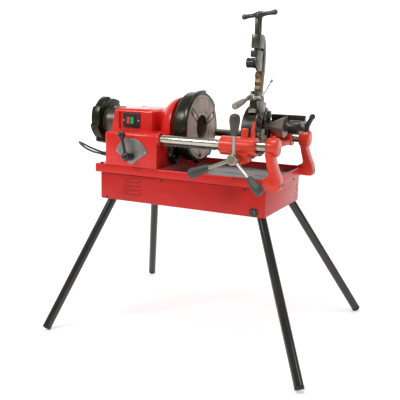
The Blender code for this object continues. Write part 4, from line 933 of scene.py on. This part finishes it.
def build_carriage():
    front = lathe([(0, 0.163), (0.0300, 0.163), (0.0320, 0.165), (0.0320, 0.2885), (0.0305, 0.291),
                   (0, 0.291)],
                  (0, -RAIL_Y, RAIL_Z - 0.003), (1, 0, 0), 96, closed=False)
    rear = lathe([(0, 0.165), (0.0285, 0.165), (0.0300, 0.167), (0.0300, 0.298), (0.0285, 0.300), (0, 0.300)],
                 (0, RAIL_Y, RAIL_Z), (1, 0, 0), 96, closed=False)
    stub = soften(block((0.2355, -RAIL_Y - 0.010, RAIL_Z), (0.2555, -RAIL_Y + 0.010, 0.779), 0), 0.0035, 3)
    rib = plate([(-0.170, 0.735), (-0.1405, 0.799), (-0.1385, 0.799), (-0.128, 0.710)], "X", 0.2580, 0.2665,
                0.0012, 2)
    apron = plate([(0.200, 0.700), (0.207, 0.655), (0.234, 0.656), (0.270, 0.668), (0.270, 0.700)], "Y",
                  -0.209,
                  -0.165, 0.003, 3)
    beams = [block((0.161, -RAIL_Y, 0.697), (0.184, RAIL_Y, 0.717), 0.003),
             block((0.252, -RAIL_Y, 0.697), (0.297, RAIL_Y, 0.717), 0.003)]
    lugs = []
    for x_low, x_high in ((0.1655, 0.189), (0.246, 0.260), (0.2925, 0.2995)):
        shape = [(PIVOT[0] - 0.013, RAIL_Z), (PIVOT[0] + 0.013, RAIL_Z)] + arc(PIVOT, 0.013, 0, 180, 20)
        lugs.append(plate(shape, "X", x_low, x_high, 0.001, 2, 60))
    whole = fuse(front, rear, stub, rib, apron, *beams, *lugs)
    tools = [rod((0.1, side * RAIL_Y, RAIL_Z), (0.4, side * RAIL_Y, RAIL_Z), RAIL_R + 0.0003, sides=64,
                 width=0)
             for side in (-1, 1)]
    tools.append(block((0.1, -RAIL_Y - 0.008, RAIL_Z - 0.024), (0.4, -RAIL_Y + 0.008, RAIL_Z), 0))
    tools.append(rod((0.234, -0.25, WHEEL_Z), (0.234, -0.1, WHEEL_Z), PIN_BORE, width=0))
    tools.append(rod((0.234, -RAIL_Y - 0.010, 0.681), (0.234, -RAIL_Y + 0.010, 0.681), 0.0185, width=0))
    piece("carriage_casting", carve(whole, *tools), ORANGE, "carriage", ("carriage",), 28)
    piece("pivot_shaft", rod((0.130, *PIVOT), (0.2985, *PIVOT), 0.008, sides=48), SATIN, "carriage")
    bolts = [screw_head((0.279, -RAIL_Y - 0.003, RAIL_Z - 0.0345), (0, 0, -1), 0.0060, 0.0050),
             screw_head((0.176, -RAIL_Y + 0.02, RAIL_Z + 0.0215), (0, 0.4, 1), 0.0045, 0.0030),
             screw_head((0.268, 0.12, 0.717), (0, 0, 1), 0.0060, 0.0045),
             screw_head((0.268, -0.10, 0.717), (0, 0, 1), 0.0060, 0.0045)]
    piece("carriage_bolts", gather(*bolts), BLACK, "carriage")


def build_feed_wheel():
    hub = Vector((0.234, -0.220, 0.681))
    profile = [(0, 0.0397), (0.0165, 0.0397), (0.0180, 0.0382), (0.0180, 0.0015), (0.0165, 0), (0, 0)]
    centre = lathe(profile, hub, (0, -1, 0), 64, closed=False)
    spokes = []
    for spoke in range(3):
        angle = math.radians(82 + 120 * spoke)
        root = hub + Vector((0, -0.022, 0))
        tip = root + Vector((0.153 * math.cos(angle), -0.050, 0.153 * math.sin(angle)))
        along = (tip - root).normalized()
        start = tip - along * 0.073
        spokes.append(rod(root, start + along * 0.050, 0.0065, sides=40, width=0))
        grip = [(0, 0.073), (0.0060, 0.0727), (0.0110, 0.0712), (0.0148, 0.0680), (0.0170, 0.0630),
                (0.0178, 0.0570), (0.0178, 0.0500), (0.0166, 0.0380), (0.0148, 0.0250), (0.0128, 0.0120),
                (0.0112, 0.0040), (0.0100, 0.0008), (0.0085, 0), (0, 0)]
        piece(f"wheel_grip_{spoke + 1}", lathe(grip, start, along, 48, closed=False), GRIP, "handwheel",
              (f"grip_{spoke + 1}",))
    piece("wheel_spider", gather(centre, *spokes), SATIN, "handwheel", ("feed_wheel",))
    refinish(DARK_STEEL, "feed_shaft")
    piece("wheel_hub_face", lathe([(0, 0.0401), (0.0120, 0.0401), (0.0126, 0.0396), (0, 0.0396)], hub,
                                  (0, -1, 0), 48,
                                  closed=False), HUB_FACE, "handwheel")


# Die head
RECESSES = ((-0.048, 0.792), (0.046, 0.800))


def build_die_head():
    body_profile = [(0.0890, 0.241), (0.0920, 0.238), (0.0920, 0.196), (0.0890, 0.193), (0.0470, 0.193),
                    (0.0460, 0.194), (0.0460, 0.2315), (0.0540, 0.241), (0.0600, 0.241), (0.0600, 0.2345),
                    (0.0820, 0.2345), (0.0820, 0.241)]
    disc = lathe(body_profile, (0, 0, AXIS_Z), (1, 0, 0), 128)
    arm = block((0.198, 0.070, 0.7525), (0.236, PIVOT[0], 0.777), 0.003)
    hub = rod((0.1965, *PIVOT), (0.2380, *PIVOT), 0.016, sides=64)
    post = block((0.200, -0.036, 0.835), (0.236, 0.022, 0.872), 0.004)
    post = carve(post, rod((0.219, -0.06, 0.872), (0.219, 0.05, 0.872), 0.0090, width=0),
                 block((0.19, -0.055, 0.862), (0.208, 0.005, 0.90), 0))
    bore = rod((0.17, *PIVOT), (0.25, *PIVOT), PIN_BORE, width=0)
    piece("die_head_body", gather(disc, carve(fuse(arm, hub), bore), post), IRON, "die_head",
          ("die_head",), 30)
    wedge = plate([(-0.062, 0.866), (0.016, 0.858), (0.004, 0.838), (-0.022, 0.796), (-0.040, 0.812)], "X",
                  0.2365,
                  0.248, 0.0015, 2)
    piece("die_cam_plate", wedge, PLATE_GREY, "die_head")
    stop_lug = block((0.2390, 0.056, 0.800), (0.2470, 0.074, 0.826), 0.002)
    piece("die_head_stop_lug", stop_lug, PLATE_GREY, "die_head")
    drip = gather(block((0.2430, -0.042, 0.690), (0.2560, 0.008, 0.742), 0.004),
                  block((0.2430, -0.034, 0.735), (0.2520, -0.004, 0.766), 0.004))
    piece("oil_feed_block", drip, PALE_BRASS, "die_head")
    rims = [lathe([(0.0255, 0.2400), (0.0255, 0.2440), (0.0285, 0.2440), (0.0300, 0.2400)], (0, y, z),
                  (1, 0, 0), 64)
            for y, z in RECESSES]
    piece("die_recess_rims", gather(*rims), PLATE_GREY, "die_head")
    dies = []
    for angle in (45, 135, 225, 315):
        die = gather(block((0.205, 0.047, -0.0125), (0.2425, 0.083, 0.0125), 0.0012),
                     block((0.207, 0.0465, -0.0090), (0.2440, 0.060, 0.0090), 0.0008))
        dies.append(turned_copy(die, around_axis(angle, (0, 0, AXIS_Z))))
    piece("threading_dies", gather(*dies), GUNMETAL, "die_head")
    clips = [block((0.212, -0.074, 0.825), (0.238, -0.052, 0.838), 0.0015),
             block((0.236, 0.030, 0.826), (0.243, 0.058, 0.832), 0.001)]
    piece("die_head_clips", gather(*clips), SATIN, "die_head")
    heads = [screw_head((0.241, 0.088 * math.cos(math.radians(a)),
                         AXIS_Z + 0.088 * math.sin(math.radians(a))),
                        (1, 0, 0), 0.0035, 0.0020) for a in (0, 60, 180, 235, 305)]
    piece("die_head_screws", gather(*heads), SCREW, "die_head")
    root = Vector((0.199, -0.030, 0.874))
    tip = Vector((0.186, -0.140, 0.846))
    base = root + Vector((0, 0.026, 0.006))
    along = (tip - base).normalized()
    length = (tip - base).length
    grip = [(0, length), (0.0060, length - 0.0006), (0.0105, length - 0.0030), (0.0124, length - 0.0080),
            (0.0122, length - 0.030), (0.0105, length - 0.062), (0.0090, length - 0.075),
            (0.0086, length - 0.078),
            (0, length - 0.078)]
    shank = [(0, length - 0.076), (0.0062, length - 0.076), (0.0062, 0.030), (0.0100, 0.030), (0.0100, 0.004),
             (0.0085, 0), (0, 0)]
    piece("throw_out_grip", lathe(grip, base, along, 48, closed=False), LEVER_GREY, "die_lever",
          ("die_lever",))
    piece("throw_out_shank", lathe(shank, base, along, 48, closed=False), SATIN, "die_lever")
    knob = lathe([(0, 0.0155), (0.0085, 0.0155), (0.0105, 0.0135), (0.0105, 0.0020), (0.0095, 0), (0, 0)],
                 (0.219, 0.0225, 0.872), (0, 1, 0), 48, closed=False)
    end = Vector((0.250, 0.048, 0.934))
    rods = gather(knob, rod((0.219, -0.034, 0.872), (0.219, 0.024, 0.872), 0.0050, sides=32),
                  rod((0.219, -0.026, 0.872), (0.219, 0.022, 0.872), 0.0078, sides=48),
                  rod((0.219, 0.030, 0.872), end, 0.0033, 0.0028, 24, 0), orb(end, 0.0062, sides=32),
                  orb((0.219, -0.035, 0.872), 0.0085, (1, 0.7, 1), 32))
    piece("size_clamp", rods, SATIN, "die_clamp", ("die_clamp",))


# Pipe cutter
def build_cutter():
    x_low, x_high = CUTTER[0] - 0.014, CUTTER[0] + 0.014
    spine = [(0.168, 0.790), (0.196, 0.788), (0.201, 0.820), (0.202, 0.850), (0.199, 0.885), (0.199, 0.914),
             (0.204, 0.945), (0.210, 0.975), (0.213, 1.003), (0.213, 1.030), (0.210, 1.055), (0.205, 1.075),
             (0.197, 1.092), (0.186, 1.1015), (0.130, 1.1015), (0.130, 1.052), (0.172, 1.052), (0.181, 1.047),
             (0.186, 1.038), (0.188, 1.015), (0.188, 0.990), (0.185, 0.965), (0.180, 0.940), (0.177, 0.915),
             (0.176, 0.903), (0.173, 0.896), (0.168, 0.893), (0.128, 0.893), (0.124, 0.850), (0.145, 0.841),
             (0.160, 0.835)]
    frame_shape = plate(spine, "X", x_low, x_high, 0.0035, 3, 60)
    block_shape = soften(block((CUTTER[0] - 0.017, 0.124, 1.051), (CUTTER[0] + 0.017, 0.178, 1.1025), 0),
                         0.006, 4,
                         wanted=lambda spot: abs(spot.z - 1.0767) < 0.01)
    soften(block_shape, 0.0015, 2, 50)
    foot = plate([(0.163, 0.768), (0.195, 0.768), (0.199, 0.800), (0.164, 0.800)], "X", x_low + 0.0003,
                 x_high - 0.0007, 0.002, 2)
    hub = rod((x_low + 0.0002, *PIVOT), (x_high - 0.0005, *PIVOT), 0.016, sides=64)
    tools = [rod((0.12, *PIVOT), (0.18, *PIVOT), PIN_BORE, width=0),
             rod((*CUTTER, 1.03), (*CUTTER, 1.13), 0.0141, width=0),
             block((CUTTER[0] - 0.005, 0.110, 0.857), (CUTTER[0] + 0.005, 0.1625, 0.90), 0)]
    piece("cutter_casting", carve(fuse(frame_shape, block_shape, foot, hub), *tools), GUNMETAL, "cutter",
          ("cutter_frame",), 30)
    way = plate([(0.1795, 0.906), (0.1835, 0.965), (0.1778, 0.965), (0.1700, 0.952), (0.1745, 0.938),
                 (0.1690, 0.925),
                 (0.1735, 0.912), (0.1685, 0.900), (0.1690, 0.894), (0.1760, 0.896)], "X", x_low - 0.0006,
                x_high + 0.0006, 0.0008, 2)
    piece("cutter_way", way, WAY, "cutter")
    disc = [(0, 0.0132), (0.0030, 0.0132), (0.0039, 0.0124), (0.0039, 0.0042), (0.0090, 0.0042),
            (0.0110, 0.0030),
            (0.0165, 0.0), (0.0110, -0.0030), (0.0090, -0.0042), (0.0039, -0.0042), (0.0039, -0.0124),
            (0.0030, -0.0132), (0, -0.0132)]
    piece("cutting_disc", lathe(disc, (CUTTER[0], 0.142, 0.876), (1, 0, 0), 64, closed=False), JAW_STEEL,
          "cutter_wheel", ("cutter_wheel",))
    build_cutter_slide()


def build_cutter_slide():
    left, right = CUTTER[0] - 0.0115, CUTTER[0] + 0.0155
    cheek = right - 0.0078
    top = block((left, 0.108, 1.0180), (right, 0.172, 1.043), 0.003)
    side = plate([(0.112, 1.020), (0.103, 1.013), (0.099, 1.008), (0.099, 0.990), (0.110, 0.9785),
                  (0.126, 0.966),
                  (0.170, 0.966), (0.170, 1.020)], "X", cheek, right - 0.0003, 0.002, 3, 20)
    half_roller = 0.0152
    rollers = (0.112, 0.158)
    pins = [rod((cheek - 2 * half_roller - 0.002, y, 0.9965), (cheek + 0.002, y, 0.9965), 0.0049, sides=32)
            for y in rollers]
    piece("slide_body", gather(fuse(top, side), *pins), GUNMETAL, "cutter_slide",
          ("cutter_slide",), 30)
    profile = [(0.0178, 0.0152), (0.0190, 0.0140), (0.0190, 0.0040), (0.0180, 0.0030), (0.0180, -0.0030),
               (0.0190, -0.0040), (0.0190, -0.0140), (0.0178, -0.0152), (0.0110, -0.0152), (0.0095, -0.0120),
               (0.0052, -0.0120), (0.0052, 0.0120), (0.0095, 0.0120), (0.0110, 0.0152)]
    for index, y in enumerate(rollers):
        roller = lathe(profile, (cheek - 0.0003 - half_roller, y, 0.9965), (1, 0, 0), 64)
        piece(f"roller_{index + 1}_body", roller, BLACK, f"roller_{index + 1}",
              (f"cutter_roller_{index + 1}",))
    stem = lathe([(0, 0.123), (0.0125, 0.123), (0.0135, 0.121), (0.0135, 0.0620), (0.0128, 0.0610),
                  (0.0128, 0.0003),
                  (0, 0.0003)], (*CUTTER, 1.043), (0, 0, 1), 64, closed=False)
    half = Vector((0.0602, 0, 0.0079))
    middle = Vector((CUTTER[0] + 0.003, CUTTER[1], 1.1735))
    along = half.normalized()
    reach = half.length
    bar = [(0, reach + 0.0105), (0.0060, reach + 0.0092), (0.0095, reach + 0.0055), (0.0105, reach),
           (0.0098, reach - 0.0060),
           (0.0082, reach - 0.0120), (0.0078, 0.0300), (0.0090, 0.0180), (0.0125, 0.0080), (0.0135, 0.0),
           (0.0125, -0.0080), (0.0090, -0.0180), (0.0078, -0.0300), (0.0082, 0.0120 - reach),
           (0.0098, 0.0060 - reach),
           (0.0105, -reach), (0.0095, -reach - 0.0055), (0.0060, -reach - 0.0092), (0, -reach - 0.0105)]
    handle = lathe(bar, middle, along, 48, closed=False)
    blend = lathe([(0, 0.0130), (0.0070, 0.0128), (0.0120, 0.0100), (0.0140, 0.0040), (0.0142, -0.0060),
                   (0.0135, -0.0120), (0, -0.0120)], middle - Vector((0.002, 0, 0.004)), (0, 0, 1), 48,
                   closed=False)
    piece("screw_and_handle", gather(stem, handle, blend), OLIVE, "cutter_screw",
          ("cutter_screw",))


# Reamer
def build_reamer():
    parts = [block((0.263, 0.082, 0.774), (0.289, 0.176, 0.798), 0.003),
             block((0.2435, 0.080, 0.786), (0.371, 0.098, 0.814), 0.003),
             block((0.346, -0.004, 0.766), (0.3805, 0.090, 0.7965), 0.003),
             rod((0.341, 0, REAMER_Z), (0.3815, 0, REAMER_Z), 0.024, sides=64, width=0.0015),
             rod((0.2625, *PIVOT), (0.2895, *PIVOT), 0.016, sides=64)]
    arm = carve(fuse(*parts), rod((0.25, *PIVOT), (0.32, *PIVOT), PIN_BORE, width=0),
                rod((0.33, 0, REAMER_Z), (0.42, 0, REAMER_Z), 0.0125, width=0),
                rod((0.33, 0, REAMER_Z), (0.3545, 0, REAMER_Z), 0.0182, width=0))
    piece("reamer_arm_casting", arm, IRON, "reamer_arm", ("reamer_arm",), 30)
    bm = bmesh.new()
    turn = Vector((1, 0, 0)).to_track_quat("Z", "Y").to_matrix().to_4x4()
    bmesh.ops.create_cone(bm, cap_ends=True, segments=12, radius1=0.0006, radius2=0.0400, depth=0.083,
                          matrix=Matrix.Translation((0.2845, 0, REAMER_Z)) @ turn)
    rim = sorted((v for v in bm.verts if v.co.x > 0.3), key=lambda v: math.atan2(v.co.z - REAMER_Z, v.co.y))
    for index, vert in enumerate(rim):
        angle = math.radians(-173 + 30 * index)
        reach = 0.0345 if index % 2 else 0.0400
        vert.co.y, vert.co.z = reach * math.cos(angle), REAMER_Z + reach * math.sin(angle)
    soften(bm, 0.0006, 2, 20)
    piece("reamer_cone", bm, REAMER_STEEL, "reamer", ("reamer",), 15)
    shank = lathe([(0, 0.3990), (0.0110, 0.3990), (0.0120, 0.3980), (0.0120, 0.3395), (0.0165, 0.3390),
                   (0.0175, 0.3380), (0.0175, 0.3262), (0, 0.3262)], (0, 0, REAMER_Z), (1, 0, 0), 64,
                   closed=False)
    piece("reamer_shank", shank, GUNMETAL, "reamer")
    heel = block((0.3960, -0.0085, 0.7640), (0.4135, 0.0080, 0.7950), 0.0035, 4)
    knob = Vector((0.4215, 0.0, 0.8170))
    handle = rod((0.4060, 0, 0.7850), knob, 0.0088, 0.0080, 40, 0)
    piece("reamer_latch", gather(heel, handle, orb(knob, 0.0108)), BLACK, "reamer")


# Studio
def stage_sheet(name, width, height, matrix, shade, glow):
    """A plain pale sheet of the studio: its floor or the backdrop behind the machine."""
    bm = bmesh.new()
    bmesh.ops.create_grid(bm, x_segments=1, y_segments=1, size=1,
                          matrix=matrix @ Matrix.Diagonal((width / 2, height / 2, 1, 1)))
    mesh = bpy.data.meshes.new(name)
    bm.to_mesh(mesh)
    bm.free()
    look = finish(f"pale_{name}", (shade,) * 3, (shade - 0.03,) * 3, 0.85, drift=0.3, drift_scale=0.6,
                  grain=0.05,
                  grain_scale=60, bump=0.02)
    shader = look.node_tree.nodes["Principled BSDF"]
    shader.inputs["Emission Color"].default_value = (1, 1, 1, 1)
    shader.inputs["Emission Strength"].default_value = glow
    mesh.materials.append(look)
    sheet = bpy.data.objects.new(name, mesh)
    scene.collection.objects.link(sheet)


def build_studio():
    stage_sheet("floor", 18, 18, Matrix.Translation((0, 0, -0.0005)), 0.92, 0.38)
    away = Vector((-0.436, 0.900, 0))
    turn = away.to_track_quat("-Z", "Y").to_matrix().to_4x4()
    stage_sheet("backdrop", 18, 8, Matrix.Translation(away * 5.5 + Vector((0, 0, 2.0))) @ turn, 0.90, 0.85)
    world = bpy.data.worlds.new("studio")
    world.use_nodes = True
    back = world.node_tree.nodes["Background"]
    back.inputs["Color"].default_value = (1, 1, 1, 1)
    back.inputs["Strength"].default_value = 0.34
    scene.world = world
    scene.view_settings.view_transform = "Standard"
    lights = (("key", (-1.6, -2.4, 2.6), 46, 0.9, 0.7), ("top", (0.0, -0.4, 3.0), 26, 1.2, 0.8),
              ("fill", (2.8, -0.9, 1.5), 11, 0.9, 0.8))
    for name, spot, power, width, height in lights:
        data = bpy.data.lights.new(name, "AREA")
        data.energy = power
        data.shape = "RECTANGLE"
        data.size = width
        data.size_y = height
        lamp = bpy.data.objects.new(name, data)
        lamp.location = spot
        lamp.rotation_euler = (Vector((0, 0, 0.6)) - Vector(spot)).to_track_quat("-Z", "Y").to_euler()
        scene.collection.objects.link(lamp)


aim_camera()
lay_cord()
build_stand()
build_pan()
build_headstock()
build_switch()
build_gear_lever()
build_chuck()
build_rear_chuck()
build_rails()
build_carriage()
build_feed_wheel()
build_die_head()
build_cutter()
build_reamer()
build_studio()
